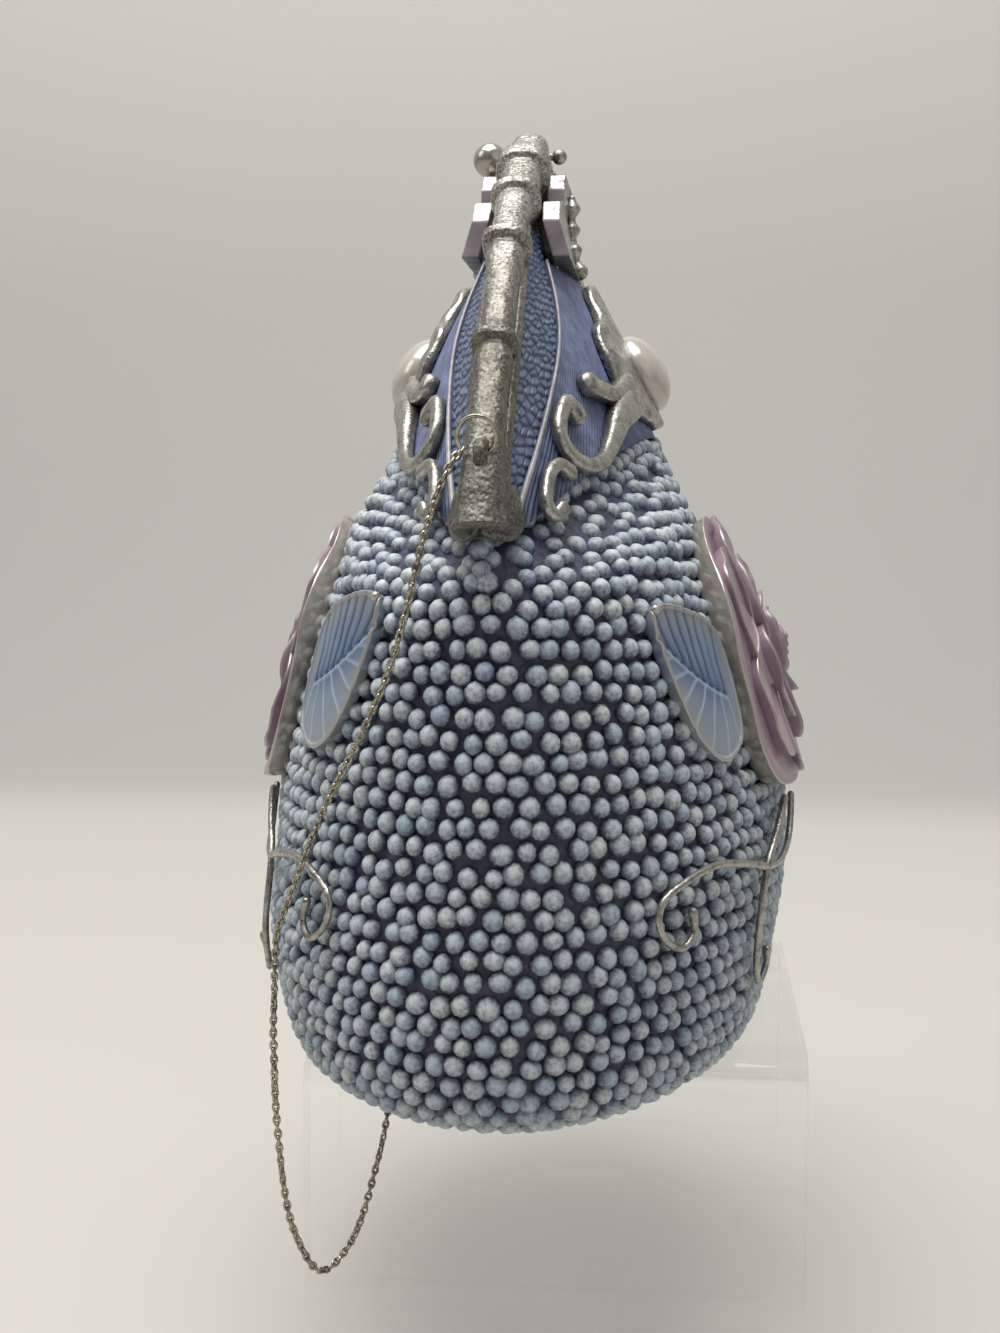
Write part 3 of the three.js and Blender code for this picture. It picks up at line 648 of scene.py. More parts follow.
def mottle_group():
    """Soft uneven tone of hand-laid paint."""
    group, start, end = new_group("Uneven paint", [
        ("Colour", "NodeSocketColor", (0.5, 0.5, 0.5, 1)),
        ("Shade", "NodeSocketColor", (0.2, 0.2, 0.3, 1)),
        ("Scale", "NodeSocketFloat", 300.0),
    ], [("Colour", "NodeSocketColor"), ("Height", "NodeSocketFloat")])
    cloud = noise_node(group, start.outputs["Scale"], 5.0, 0.6)
    tone = ramp_node(group, cloud, [(0.34, 1), (0.66, 0)])
    feed(group, end.inputs["Colour"], mix_node(group, tone, start.outputs["Colour"], start.outputs["Shade"]))
    feed(group, end.inputs["Height"], cloud)
    return group


GROUPS = {"Dry brush": dry_brush_group, "Pitted casting": pitted_group, "Uneven paint": mottle_group}


def shared_group(tree, name, **values):
    """Node of a shared group, which is built the first time it is needed."""
    node = add_node(tree, "ShaderNodeGroup", node_tree=bpy.data.node_groups.get(name) or GROUPS[name]())
    for key, value in values.items():
        feed(tree, node.inputs[key], value)
    return node


def new_finish(name, **values):
    """Material with one principled shader and its plain values set."""
    finish = bpy.data.materials.new(name)
    finish.use_nodes = True
    shader = finish.node_tree.nodes["Principled BSDF"]
    for key, value in values.items():
        shader.inputs[key.replace("_", " ")].default_value = value
    return finish, finish.node_tree, shader


def once(make):
    """A finish is made the first time it is asked for, and the same one is given after that."""
    def given(name, *values, **more):
        return bpy.data.materials.get(name) or make(name, *values, **more)
    return given


def bump_into(tree, shader, height, strength, distance):
    bump = add_node(tree, "ShaderNodeBump")
    feed(tree, bump.inputs["Strength"], strength)
    feed(tree, bump.inputs["Distance"], distance)
    feed(tree, bump.inputs["Height"], height)
    feed(tree, shader.inputs["Normal"], bump.outputs["Normal"])


def surface_value(tree, name):
    return add_node(tree, "ShaderNodeAttribute", attribute_name=name).outputs["Fac"]


@once
def silver_finish(name, colours):
    """Pitted cast silver, or the smoother and brighter silver of wires and scrolls."""
    kind = SILVERS[name]
    finish, tree, shader = new_finish(name, Metallic=kind["metal"])
    clean = opaque(colours.silver_bright)
    # The antique silver pales toward the top of the bar as painted top light
    if name == "antique silver":
        clean = mix_node(tree, surface_value(tree, "painted_top_light"), opaque(colours.silver), clean)
    cast = shared_group(tree, "Pitted casting", Clean=clean, Patina=opaque(colours.patina), Scale=2400.0,
                        Grit=kind["grit"])
    feed(tree, shader.inputs["Base Color"], cast.outputs["Colour"])
    feed(tree, shader.inputs["Roughness"], plus(tree, cast.outputs["Roughness"], kind["rough"]))
    bump_into(tree, shader, cast.outputs["Height"], kind["relief"], 0.0002)
    return finish


@once
def chain_finish(name, colours):
    finish, tree, shader = new_finish(name, Metallic=0.9)
    metal = shared_group(tree, "Pitted casting", Clean=opaque(colours.chain),
                         Patina=opaque(colours.chain, 0.35), Scale=1600.0, Grit=0.4)
    feed(tree, shader.inputs["Base Color"], metal.outputs["Colour"])
    feed(tree, shader.inputs["Roughness"], plus(tree, metal.outputs["Roughness"], 0.02))
    return finish


@once
def painted_finish(name, colour, shade, mottle, rough, silver=None, relief=0.15):
    """Satin paint, with a silver edge where the piece marks one."""
    finish, tree, shader = new_finish(name, Roughness=rough, Coat_Weight=0.12, Coat_Roughness=0.3)
    paint = shared_group(tree, "Uneven paint", Colour=colour, Shade=shade, Scale=mottle)
    tone = paint.outputs["Colour"]
    if silver:
        edge = surface_value(tree, "edge")
        tone = mix_node(tree, edge, tone, silver)
        feed(tree, shader.inputs["Metallic"], times(tree, edge, 0.85))
    feed(tree, shader.inputs["Base Color"], tone)
    bump_into(tree, shader, paint.outputs["Height"], relief, 0.0002)
    return finish


@once
def brushed_finish(name, ground, brushed, grain, rough, tint=None):
    """Dark ground with pale paint brushed over its high places."""
    finish, tree, shader = new_finish(name, Roughness=rough)
    if tint:
        brushed = mix_node(tree, surface_value(tree, "tint"), brushed, tint)
    brush = shared_group(tree, "Dry brush", Ground=ground, Brushed=brushed,
                         Height=surface_value(tree, "rise"), Grain=grain)
    feed(tree, shader.inputs["Base Color"], brush.outputs["Colour"])
    bump_into(tree, shader, brush.outputs["Cover"], 0.12, 0.0001)
    return finish


@once
def pearl_finish(name, colour, share, metal):
    """Smooth pearl skin under a clear coat."""
    finish, tree, shader = new_finish(name, Roughness=0.2, Coat_Weight=0.7, Coat_Roughness=0.08,
                                      Metallic=metal)
    skin = shared_group(tree, "Uneven paint", Colour=opaque(colour, share),
                        Shade=opaque(colour, share * 0.85), Scale=190.0)
    feed(tree, shader.inputs["Base Color"], skin.outputs["Colour"])
    bump_into(tree, shader, skin.outputs["Height"], 0.05, 0.0002)
    return finish


@once
def petal_back_finish(name, colour):
    """Smooth pewter on the outside of the lowest petals."""
    finish, tree, shader = new_finish(name, Metallic=0.6, Roughness=0.24)
    skin = shared_group(tree, "Uneven paint", Colour=opaque(colour), Shade=opaque(colour, 0.6), Scale=230.0)
    feed(tree, shader.inputs["Base Color"], skin.outputs["Colour"])
    bump_into(tree, shader, skin.outputs["Height"], 0.3, 0.0006)
    return finish


@once
def leaf_finish(name, colours):
    """Blue paint with a deep heart, a worn rim, grooves darkened as painted shade, pale veins and a silver
    edge.
    """
    finish, tree, shader = new_finish(name, Roughness=0.3, Coat_Weight=0.3, Coat_Roughness=0.15)
    paint = shared_group(tree, "Uneven paint", Colour=opaque(colours.leaf), Shade=opaque(colours.leaf, 1.3),
                         Scale=240.0)
    tone = paint.outputs["Colour"]
    # Grooves are darkened as painted shade
    for mark, share, colour in (
            ("below", 0.75, opaque(colours.leaf_pale)), ("worn", 0.6, opaque(colours.leaf_grey)),
            ("heart", 0.75, opaque(colours.leaf_deep)), ("groove", 0.95, opaque(colours.leaf, 0.22)),
            ("vein", 0.8, opaque(colours.leaf_pale, 1.75)), ("edge", 1.0, opaque(colours.silver_bright))):
        tone = mix_node(tree, times(tree, surface_value(tree, mark), share), tone, colour)
    feed(tree, shader.inputs["Base Color"], tone)
    feed(tree, shader.inputs["Metallic"], times(tree, surface_value(tree, "edge"), 0.6))
    bump_into(tree, shader, paint.outputs["Height"], 0.1, 0.0002)
    return finish


@once
def acrylic_finish(name):
    """Clear sheet that shows at its bends and rims and casts a thin shadow."""
    finish, tree, shader = new_finish(name, Transmission_Weight=1.0, IOR=ACRYLIC["index"])
    shader.inputs["Base Color"].default_value = (0.985, 0.99, 0.992, 1)
    in_shadow = add_node(tree, "ShaderNodeLightPath").outputs["Is Shadow Ray"]
    pass_light = plus(tree, times(tree, in_shadow, -ACRYLIC["shadow"]), 1.0)
    feed(tree, shader.inputs["Alpha"], times(tree, surface_value(tree, "show"), pass_light))
    dust = noise_node(tree, 260.0, 5.0, 0.7)
    feed(tree, shader.inputs["Roughness"], ramp_node(tree, dust, [(0.45, 0.015), (0.8, 0.07)]))
    return finish


# Values a user would change
def length_mm(name, description, default):
    return bpy.props.FloatProperty(name=name, description=f"{description} in millimetres", default=default,
                                   min=default / 2, max=default * 2)


def paint_colour(name, description, default):
    return bpy.props.FloatVectorProperty(name=name, description=description, subtype="COLOR",
                                         default=default)


class BagSizes(bpy.types.PropertyGroup):
    bead_pitch: length_mm("Bead pitch", "Spacing of the beads", 1.97)
    bead_radius: length_mm("Bead radius", "Radius of a bead", 0.97)
    ground_inset: length_mm("Ground inset", "Depth of the ground below the bead tops", 1.15)
    rib_pitch: length_mm("Rib pitch", "Spacing of the fan ribs", 0.52)
    scale_pitch: length_mm("Scale pitch", "Size of the gusset scales", 0.96)
    link_length: length_mm("Link length", "Length of a chain link", 1.15)
    link_width: length_mm("Link width", "Width of a chain link", 0.8)
    link_wire: length_mm("Link wire", "Wire radius of a chain link", 0.15)


class BagColours(bpy.types.PropertyGroup):
    # Dry-brushed paint on the beads: pale on raised places and pushed toward their upper sides as painted
    # top light, with the dark ground left on their undersides as painted shade
    bead_top: paint_colour("Bead tops", "Pale paint on the beads", (0.52, 0.575, 0.588))
    bead_cool: paint_colour("Bead cool tint", "Bluer beads", (0.355, 0.437, 0.522))
    bead_low: paint_colour("Bead sides", "Darker paint low on the beads", (0.06, 0.072, 0.138))
    ground: paint_colour("Ground", "Navy paint under the beads", (0.02, 0.022, 0.06))
    smear: paint_colour("Smear", "Pale paint caught on the ground", (0.075, 0.08, 0.125))
    # Antique silver is the darker tone low on the bar, as painted shade; higher up it pales toward the
    # bright silver
    silver: paint_colour("Silver", "Clean antique silver", (0.15, 0.142, 0.12))
    silver_bright: paint_colour("Bright silver", "Silver of wires and scrolls", (0.45, 0.44, 0.4))
    silver_worn: paint_colour("Worn silver", "Silver line along the gussets", (0.36, 0.35, 0.37))
    silver_dim: paint_colour("Dim silver", "Darker places on the gusset line", (0.2, 0.2, 0.225))
    patina: paint_colour("Patina", "Dark tone in the pits", (0.07, 0.065, 0.056))
    # Dark violet on the plaque ends is painted shade, with a violet tint
    violet: paint_colour("Violet", "Dark violet on the plaque ends", (0.235, 0.195, 0.215))
    fan: paint_colour("Fan", "Violet-blue of the ribbed panels", (0.165, 0.205, 0.37))
    gusset: paint_colour("Gusset", "Blue of the scales", (0.147, 0.205, 0.35))
    rose: paint_colour("Rose", "Mauve of the petals", (0.335, 0.238, 0.298))
    leaf: paint_colour("Leaf", "Blue of the leaves", (0.125, 0.18, 0.285))
    leaf_pale: paint_colour("Pale leaf", "Pale blue below the midrib", (0.21, 0.262, 0.325))
    leaf_deep: paint_colour("Deep leaf", "Strong blue along the midrib", (0.05, 0.115, 0.26))
    leaf_grey: paint_colour("Leaf rim", "Worn grey near the leaf's edge", (0.26, 0.278, 0.295))
    petal_back: paint_colour("Petal back", "Pewter outside of the rose", (0.62, 0.57, 0.5))
    pearl: paint_colour("Pearl", "Cream of the pearls", (0.56, 0.53, 0.465))
    chain: paint_colour("Chain", "Dull silver of the chain", (0.46, 0.42, 0.33))


class BAG_OT_riser(bpy.types.Operator):
    """Clear riser of bent acrylic sheet"""
    bl_idname = "bag.riser"
    bl_label = "Riser"

    def execute(self, context):
        mesh = self.bent_sheet()
        points = corner_array(mesh)
        near_bend = np.hypot(points[:, 0] - RISER["near"], points[:, 2] - RISER["height"])
        far_bend = np.hypot(points[:, 0] - RISER["far"], points[:, 2] - RISER["height"])
        at_bend = 1 - ease(np.minimum(near_bend, far_bend), *ACRYLIC_FADE["bend"])
        half = RISER["width"] / 2
        at_rim = ease(np.abs(points[:, 1] - RISER["across"]), half - ACRYLIC_FADE["rim"], half)
        at_foot = 1 - ease(points[:, 2], *ACRYLIC_FADE["foot"])
        show = np.maximum(ACRYLIC["plain"] + ACRYLIC["bend"] * at_bend, ACRYLIC["rim"] * at_rim)
        add_values(mesh, "show", show * (1 - ACRYLIC["foot"] * at_foot))
        finish = acrylic_finish("clear acrylic")
        place_piece(context, "riser_sheet", mesh, "riser", "acrylic", finish, in_bag=False)
        return {"FINISHED"}

    def bent_sheet(self):
        """Middle layer of the sheet, bent at both ends and then given its thickness."""
        outer, sheet = RISER["bend"], RISER["sheet"]
        turn = np.linspace(0, math.pi / 2, 13)
        centre_z = RISER["height"] - outer
        mid = outer - sheet / 2
        near = np.stack([RISER["near"] - outer + mid * np.cos(turn), centre_z + mid * np.sin(turn)], -1)
        far = np.stack([RISER["far"] + outer - mid * np.sin(turn), centre_z + mid * np.cos(turn)], -1)
        profile = np.vstack([(RISER["near"] - sheet / 2, 0), near, far, (RISER["far"] + sheet / 2, 0)])
        mesh = grid_mesh("riser_sheet", 1, len(profile) - 1)
        place = corner_array(mesh)
        row = np.rint(place[:, 1] * (len(profile) - 1)).astype(int)
        across = RISER["across"] + (place[:, 0] - 0.5) * RISER["width"]
        move_corners(mesh, np.stack([profile[row, 0], across, profile[row, 1]], -1))
        bm = bmesh.new()
        bm.from_mesh(mesh)
        bmesh.ops.recalc_face_normals(bm, faces=bm.faces)
        for vert in bm.verts:
            vert.co -= vert.normal * sheet / 2
        bmesh.ops.solidify(bm, geom=bm.faces, thickness=-sheet)
        bmesh.ops.recalc_face_normals(bm, faces=bm.faces)
        soften(bm, 1.2, RISER["round"])
        bm.to_mesh(mesh)
        bm.free()
        return mesh


class BAG_OT_pouch(bpy.types.Operator):
    """Navy ground of the pouch, hollow and open at the mouth"""
    bl_idname = "bag.pouch"
    bl_label = "Pouch ground"

    def execute(self, context):
        sizes, colours = context.scene.bag_sizes, context.scene.bag_colours
        mesh = ball_mesh("pouch_ground", 96, 84)
        ball = corner_array(mesh)
        polar = np.arccos(np.clip(-ball[:, 2], -1, 1)) / math.pi
        angle = np.arctan2(ball[:, 1], ball[:, 0])
        outside = polar <= POUCH["outside"]
        rise = (polar / POUCH["outside"]) ** POUCH["outer_power"]
        back_down = np.maximum(polar - POUCH["outside"], 0) / (1 - POUCH["outside"])
        fall = 1 - back_down ** POUCH["inner_power"] * POUCH["inner_depth"]
        inset = np.where(outside, sizes.ground_inset, WALL)
        points = pouch_point(angle, np.where(outside, rise, fall), inset)
        points[:, 2] = np.maximum(points[:, 2], np.where(outside, POUCH["floor"], POUCH["inner_floor"]))
        at_pole = np.hypot(ball[:, 0], ball[:, 1]) < 1e-6
        points[at_pole, :2] = 0
        move_corners(mesh, points)
        tidied(mesh)
        finish = painted_finish("navy ground", opaque(colours.ground), opaque(colours.smear), 1500.0, 0.6,
                                relief=0.35)
        place_piece(context, "pouch_ground", mesh, "pouch", "beads", finish)
        return {"FINISHED"}


def inside_leaf(x, z, shift, margin):
    """Places covered by a leaf, grown by a margin."""
    edge = smooth_path(LEAF_OUTLINE, 48, closed=True) + shift
    middle = edge.mean(axis=0)
    out = edge - middle
    limit = np.hypot(out[:, 0], out[:, 1]) + margin
    bearing = np.arctan2(out[:, 1], out[:, 0])
    order = np.argsort(bearing)
    there = np.arctan2(z - middle[1], x - middle[0])
    allowed = np.interp(there, bearing[order], limit[order], period=2 * math.pi)
    return np.hypot(x - middle[0], z - middle[1]) < allowed


class BAG_OT_beads(bpy.types.Operator):
    """Rows of painted beads over the pouch"""
    bl_idname = "bag.beads"
    bl_label = "Beads"

    def execute(self, context):
        sizes, colours = context.scene.bag_sizes, context.scene.bag_colours
        chance = np.random.default_rng(BEADS["seed"])
        angle, height = self.bead_spots(sizes, chance)
        spot = pouch_point(angle, height)
        step = 0.004
        ahead = pouch_point(angle + step, height) - pouch_point(angle - step, height)
        above = pouch_point(angle, np.minimum(height + step, 1)) - pouch_point(angle, height - step)
        out = unit(np.cross(ahead, above))
        along = unit(ahead)
        up = np.cross(out, along)
        keep = ~self.covered(spot) & np.isfinite(out).all(axis=1)
        size = sizes.bead_radius * chance.uniform(*BEADS["size"], len(spot))
        stretch = chance.uniform(*BEADS["stretch"], (len(spot), 3))
        frames = np.stack([along, up, out], -1) * size[:, None, None] * stretch[:, None, :]
        places = spot - out * (size * stretch[:, 2])[:, None]
        tint = chance.uniform(0, 1, len(spot)) ** 2
        finish = brushed_finish("bead paint", opaque(colours.bead_low), opaque(colours.bead_top), 2300.0,
                                0.5, tint=opaque(colours.bead_cool))
        for end, face in CORNERS:
            on_face = (spot[:, 1] >= 0) == (FACES[face] > 0)
            at_end = (spot[:, 0] >= 0) == (ENDS[end] > 0)
            here = keep & on_face & at_end
            mesh = self.quarter(f"beads_{end}_{face}", frames[here], places[here], tint[here])
            place_piece(context, f"beads_{end}_{face}", mesh, "pouch", "beads", finish)
        return {"FINISHED"}

    def bead_spots(self, sizes, chance):
        """Angle and share of height of each bead: level rows up the wall, and two that follow the rim."""
        radius = sizes.bead_radius
        dense = np.linspace(0, 2 * math.pi, 361)
        share = np.linspace(0.0, 1.0, 700)
        lines = pouch_point(dense[:, None], share[None, :], radius)
        run = np.array([run_along(line) for line in lines])
        rim = run[:, -1]
        level = BEADS["row_level"]
        mark = np.array([np.interp(level, line[:, 2], along) for line, along in zip(lines, run)])
        pitch = sizes.bead_pitch * BEADS["row"]
        steps = range(-int(mark.max() / pitch), int((rim - mark).max() / pitch) + 1)
        rows = [(mark + step * pitch, rim - BEADS["rim_space"] * pitch) for step in steps]
        rows += [(rim - BEADS["rim_row"] * pitch, rim), (rim * BEADS["top_row"], rim)]
        angles, heights = [], []
        shift = 0.0
        for row, limit in rows:
            level = np.array([np.interp(reach, along, share) for reach, along in zip(row, run)])
            way = run_along(pouch_point(dense, level, radius))
            beads = max(int(round(way[-1] / sizes.bead_pitch)), 3)
            shift += 0.5 + chance.uniform(-BEADS["drift"], BEADS["drift"])
            jitter = chance.uniform(-BEADS["jitter"], BEADS["jitter"], beads)
            spots = (np.arange(beads) + shift + jitter) / beads * way[-1]
            around = np.interp(spots % way[-1], way, dense)
            wander = chance.uniform(-BEADS["wander"], BEADS["wander"], beads)
            below_limit = np.interp(around, dense, row - limit) <= 0
            inside = below_limit & (np.interp(around, dense, row) > BEADS["lowest"])
            angles.append(around[inside])
            heights.append(np.clip(np.interp(around, dense, level) + wander, 0, 1)[inside])
        return np.concatenate(angles), np.concatenate(heights)

    def covered(self, spot):
        """Places under the roses and leaves, which carry no beads."""
        x, y, z = spot.T
        long_share = np.abs((x - ROSE["x"]) / ROSE["half_long"])
        tall_share = np.abs((z - ROSE["z"]) / ROSE["half_tall"])
        hidden = long_share ** 3 + tall_share ** 3 < BEADS["under_rose"]
        for face, side in FACES.items():
            under = inside_leaf(np.abs(x), z, LEAF_SHIFT[face], -BEADS["under_leaf"])
            hidden |= (np.sign(y) == side) & under
        return hidden

    def quarter(self, name, frames, places, tint):
        """Beads of one quarter of the pouch as one mesh, each without its buried part."""
        bm = bmesh.new()
        bmesh.ops.create_uvsphere(bm, u_segments=10, v_segments=7, radius=1)
        buried = [vert for vert in bm.verts if vert.co.z < BEADS["buried"]]
        bmesh.ops.delete(bm, geom=buried, context="VERTS")
        pattern = mesh_from("one_bead", bm)
        corners = corner_array(pattern)
        up_share = (corners[:, 2] - BEADS["buried"]) / (1 - BEADS["buried"])
        mesh = repeated_mesh(name, pattern, frames, places)
        # Rise for the dry brush: height on the bead, plus a share of how far up the corner faces, which is
        # painted top light and painted shade on the underside
        add_values(mesh, "rise", np.tile(up_share * 0.85 + 0.3 * corners[:, 1], len(places)))
        add_values(mesh, "tint", np.repeat(tint, len(pattern.vertices)))
        bpy.data.meshes.remove(pattern)
        return mesh


class BAG_OT_fan_panels(bpy.types.Operator):
    """Ribbed panels between the mouth and the top of the frame"""
    bl_idname = "bag.fan_panels"
    bl_label = "Fan panels"

    def execute(self, context):
        sizes, colours = context.scene.bag_sizes, context.scene.bag_colours
        ribs = int(round(FAN["span"] / sizes.rib_pitch))
        mesh = grid_mesh("fan_panel", ribs * 4, 22)
        place = corner_array(mesh)
        u = place[:, 0] * 2 - 1
        z = FAN["low"] + place[:, 1] * (TENT_TOP - FAN["low"])
        for _ in range(12):
            x = u * (seam_at(z) - FAN["seam_gap"])
            low = rim_height(np.minimum(np.abs(x) / FAN["mouth_half"], 1)) + FAN["mouth_gap"]
            z = low + place[:, 1] * (TENT_TOP - low)
        rib = np.abs(np.cos(place[:, 0] * ribs * math.pi))
        move_corners(mesh, np.stack([x, tent_depth(x, z) - FAN["sunk"] + FAN["relief"] * rib, z], -1))
        add_values(mesh, "rise", 0.02 + 0.83 * rib)
        backed(mesh, FAN["back"])
        finish = brushed_finish("fan paint", opaque(colours.fan, 0.3), opaque(colours.fan), 700.0, 0.42)
        for face in FACES:
            place_on_face(context, "fan_ribs", mesh, "fan_panel", "fan", face, finish)
        return {"FINISHED"}


def bar_edge_at(z):
    """Place along the bag where a side panel meets the bar."""
    return column(TENT_ROWS, 1, z) - GUSSET["bar_gap"] - GUSSET["bar_spread"] * (z - GUSSET["foot"])


class BAG_OT_gussets(bpy.types.Operator):
    """Scale-textured side panels and their silver edges"""
    bl_idname = "bag.gussets"
    bl_label = "Gussets"

    def execute(self, context):
        sizes, colours = context.scene.bag_sizes, context.scene.bag_colours
        mesh = grid_mesh("gusset", 90, 250)
        place = corner_array(mesh)
        z = GUSSET["foot"] + place[:, 1] * (GUSSET["top"] - GUSSET["foot"])
        left = seam_at(z) + GUSSET["seam_gap"]
        x = left + (bar_edge_at(z) - left) * place[:, 0]
        along = np.hypot(column(TENT_ROWS, 1, z) - x, tent_depth(x, z))
        scale = self.scales(along, place[:, 1], sizes.scale_pitch)
        move_corners(mesh, lifted(tent_depth, x, z, GUSSET["relief"] * (scale - 1)))
        add_values(mesh, "rise", 0.15 + 0.65 * scale)
        backed(mesh, GUSSET["back"])
        finish = brushed_finish("gusset paint", opaque(colours.gusset, 0.34), opaque(colours.gusset),
                                1100.0, 0.42)
        z_line = np.linspace(GUSSET_LINE["foot"], TENT_TOP, 40)
        path = lifted(tent_depth, seam_at(z_line), z_line, GUSSET_LINE["lift"])
        radii = GUSSET_LINE["wire"] + GUSSET_LINE["foot_wire"] * (1 - ease(z_line, *GUSSET_LINE["fade"]))
        line = swept_mesh("gusset_line", path, radii, 10)
        worn = painted_finish("worn silver edge", opaque(colours.silver_worn), opaque(colours.silver_dim),
                              900.0, 0.35)
        for corner in CORNERS:
            place_at_corner(context, "gusset_scales", mesh, "gusset", "gusset", *corner, finish)
            place_at_corner(context, "gusset_line", line, "gusset_edge", "silver", *corner, worn)
        return {"FINISHED"}

    def scales(self, along, share, pitch):
        """Rounded scales set close, each tilted up toward its lower lip and finer toward the top."""
        finer, tall = SCALES["finer"], SCALES["row"]
        local = SCALES["largest"] - finer * share
        across = along / (SCALES["wide"] * pitch * local)
        up = -np.log(local) / finer * (GUSSET["top"] - GUSSET["foot"]) / pitch
        far_away = 9.0
        first = np.full(along.shape, far_away)
        second = first.copy()
        lean = np.zeros(along.shape)
        row = np.floor(up / tall)
        for level in (row - 1, row, row + 1):
            shift = 0.5 * (level % 2)
            for spot in (np.floor(across - shift) + step for step in (-1, 0, 1)):
                wander = np.sin(level * 12.9 + spot * 78.2) * 43.7
                off = across - shift - spot - 0.5 + SCALES["off"] * np.sin(wander)
                drop = up - (level + 0.5) * tall + SCALES["drop"] * np.cos(wander * 1.7)
                gap = np.hypot(off, drop)
                closer = gap < first
                second = np.where(closer, first, np.minimum(second, gap))
                lean = np.where(closer, drop, lean)
                first = np.where(closer, gap, first)
        return ease(second - first, 0.04, 0.3) * np.clip(0.75 - 0.6 * lean - 0.3 * first, 0, 1)


class BAG_OT_arch(bpy.types.Operator):
    """Knuckled silver arch with a ring lug at each foot"""
    bl_idname = "bag.arch"
    bl_label = "Arch bar"

    def execute(self, context):
        parts = [self.bar()]
        for way in ENDS.values():
            parts.append(self.lug(way))
            for side in FACES.values():
                parts += [self.border(way, side), self.web(way, side)]
        mesh = merged("arch_bar_cast", parts)
        # Painted top light: the silver grows paler toward the top of the bar
        rise = ease(corner_array(mesh)[:, 2], *BAR_TOP_LIGHT["fade"])
        add_values(mesh, "painted_top_light", BAR_TOP_LIGHT["share"] * rise)
        finish = silver_finish("antique silver", context.scene.bag_colours)
        place_piece(context, "arch_bar_cast", mesh, "arch_bar", "silver", finish)
        return {"FINISHED"}

    def bar(self):
        """Squarish bar with collars and necks at its knuckles and hammer marks all over."""
        rows = np.vstack([BAR_ROWS, (BAR_ROWS[:-1] * (-1, 1, 1))[::-1]])
        run = run_along(rows[:, :2])
        count = 1300
        fine = np.linspace(0, run[-1], count)
        radii = np.interp(fine, run, rows[:, 2])
        radii = np.convolve(np.pad(radii, 1, mode="edge"), np.ones(3) / 3, mode="valid")
        path = smooth_path(np.stack([rows[:, 0], np.zeros(len(rows)), rows[:, 1]], -1), count)
        for way in ENDS.values():
            for x, z in BAR_NODES:
                at = fine[np.argmin(np.hypot(path[:, 0] - x * way, path[:, 2] - z))]
                away = (fine - at) * way
                radii += COLLAR["height"] * ease(away, *COLLAR["start"]) * (1 - ease(away, *COLLAR["end"]))
                for height, place, spread in KNUCKLE_WAVES:
                    radii += height * np.exp(-((away - place) / spread) ** 2)
        bar = swept_mesh("bar", path, radii, 28, square=2.7, across=(0, 1, 0), rounded=False)
        points = corner_array(bar)
        normals = np.array([vert.normal for vert in bar.vertices])
        push = sum(roughened(points, *marks) for marks in BAR_MARKS)
        move_corners(bar, points + normals * push[:, None])
        return bar

    def border(self, way, side):
        """Flat edge beside the bar, where a side panel meets it."""
        z = np.linspace(GUSSET["foot"] - BORDER["below"], GUSSET["top"], 70)
        points, normal = raised_path(tent_depth, bar_edge_at(z) + BORDER["outward"], z, BORDER["lift"])
        radii = BORDER["half"] + BORDER["foot_half"] * (1 - ease(z, *BORDER["fade"]))
        radii += roughened(points, *EDGE_MARKS)
        turn = (way, side, 1)
        return swept_mesh("border", points * turn, radii, 12, square=3.0, across=normal * turn,
                          flat=BORDER["flat"])

    def web(self, way, side):
        """Thin flange that joins the foot of the bar to the lower end of a side panel."""
        def lifts(x, z, reach, height, turn):
            top = WEB["thick"] - WEB["edge_drop"] * ease(reach, 0.8, 1.0)
            return np.where(height >= PAD_TOP, top, WEB["back"])
        mesh, _, _ = pad_mesh("web", WEB_OUTLINE, tent_depth, 40, 14, lifts)
        placed = mirrored_mesh(mesh, way, side)
        bpy.data.meshes.remove(mesh)
        return placed

    def lug(self, way):
        """Flat eye for the jump ring, with rounded rims."""
        half, hole, radius, trim = LUG["thick"] / 2, LUG["hole"], LUG["radius"], LUG["round"]
        rim = [(hole, half - trim), (hole + trim, half), (radius - trim, half), (radius, half - trim)]
        outline = [(reach, -high) for reach, high in rim] + rim[::-1]
        bm = bmesh.new()
        profile = [bm.verts.new((reach, high, 0)) for reach, high in outline]
        edges = [bm.edges.new(pair) for pair in zip(profile, profile[1:] + profile[:1])]
        bmesh.ops.spin(bm, geom=profile + edges, cent=(0, 0, 0), axis=(0, 1, 0), dvec=(0, 0, 0),
                       angle=2 * math.pi, steps=24, use_merge=True)
        bmesh.ops.remove_doubles(bm, verts=bm.verts, dist=1e-4)
        bmesh.ops.recalc_face_normals(bm, faces=bm.faces)
        bmesh.ops.translate(bm, verts=bm.verts, vec=(LUG["x"] * way, 0, LUG["z"]))
        return mesh_from("lug", bm)


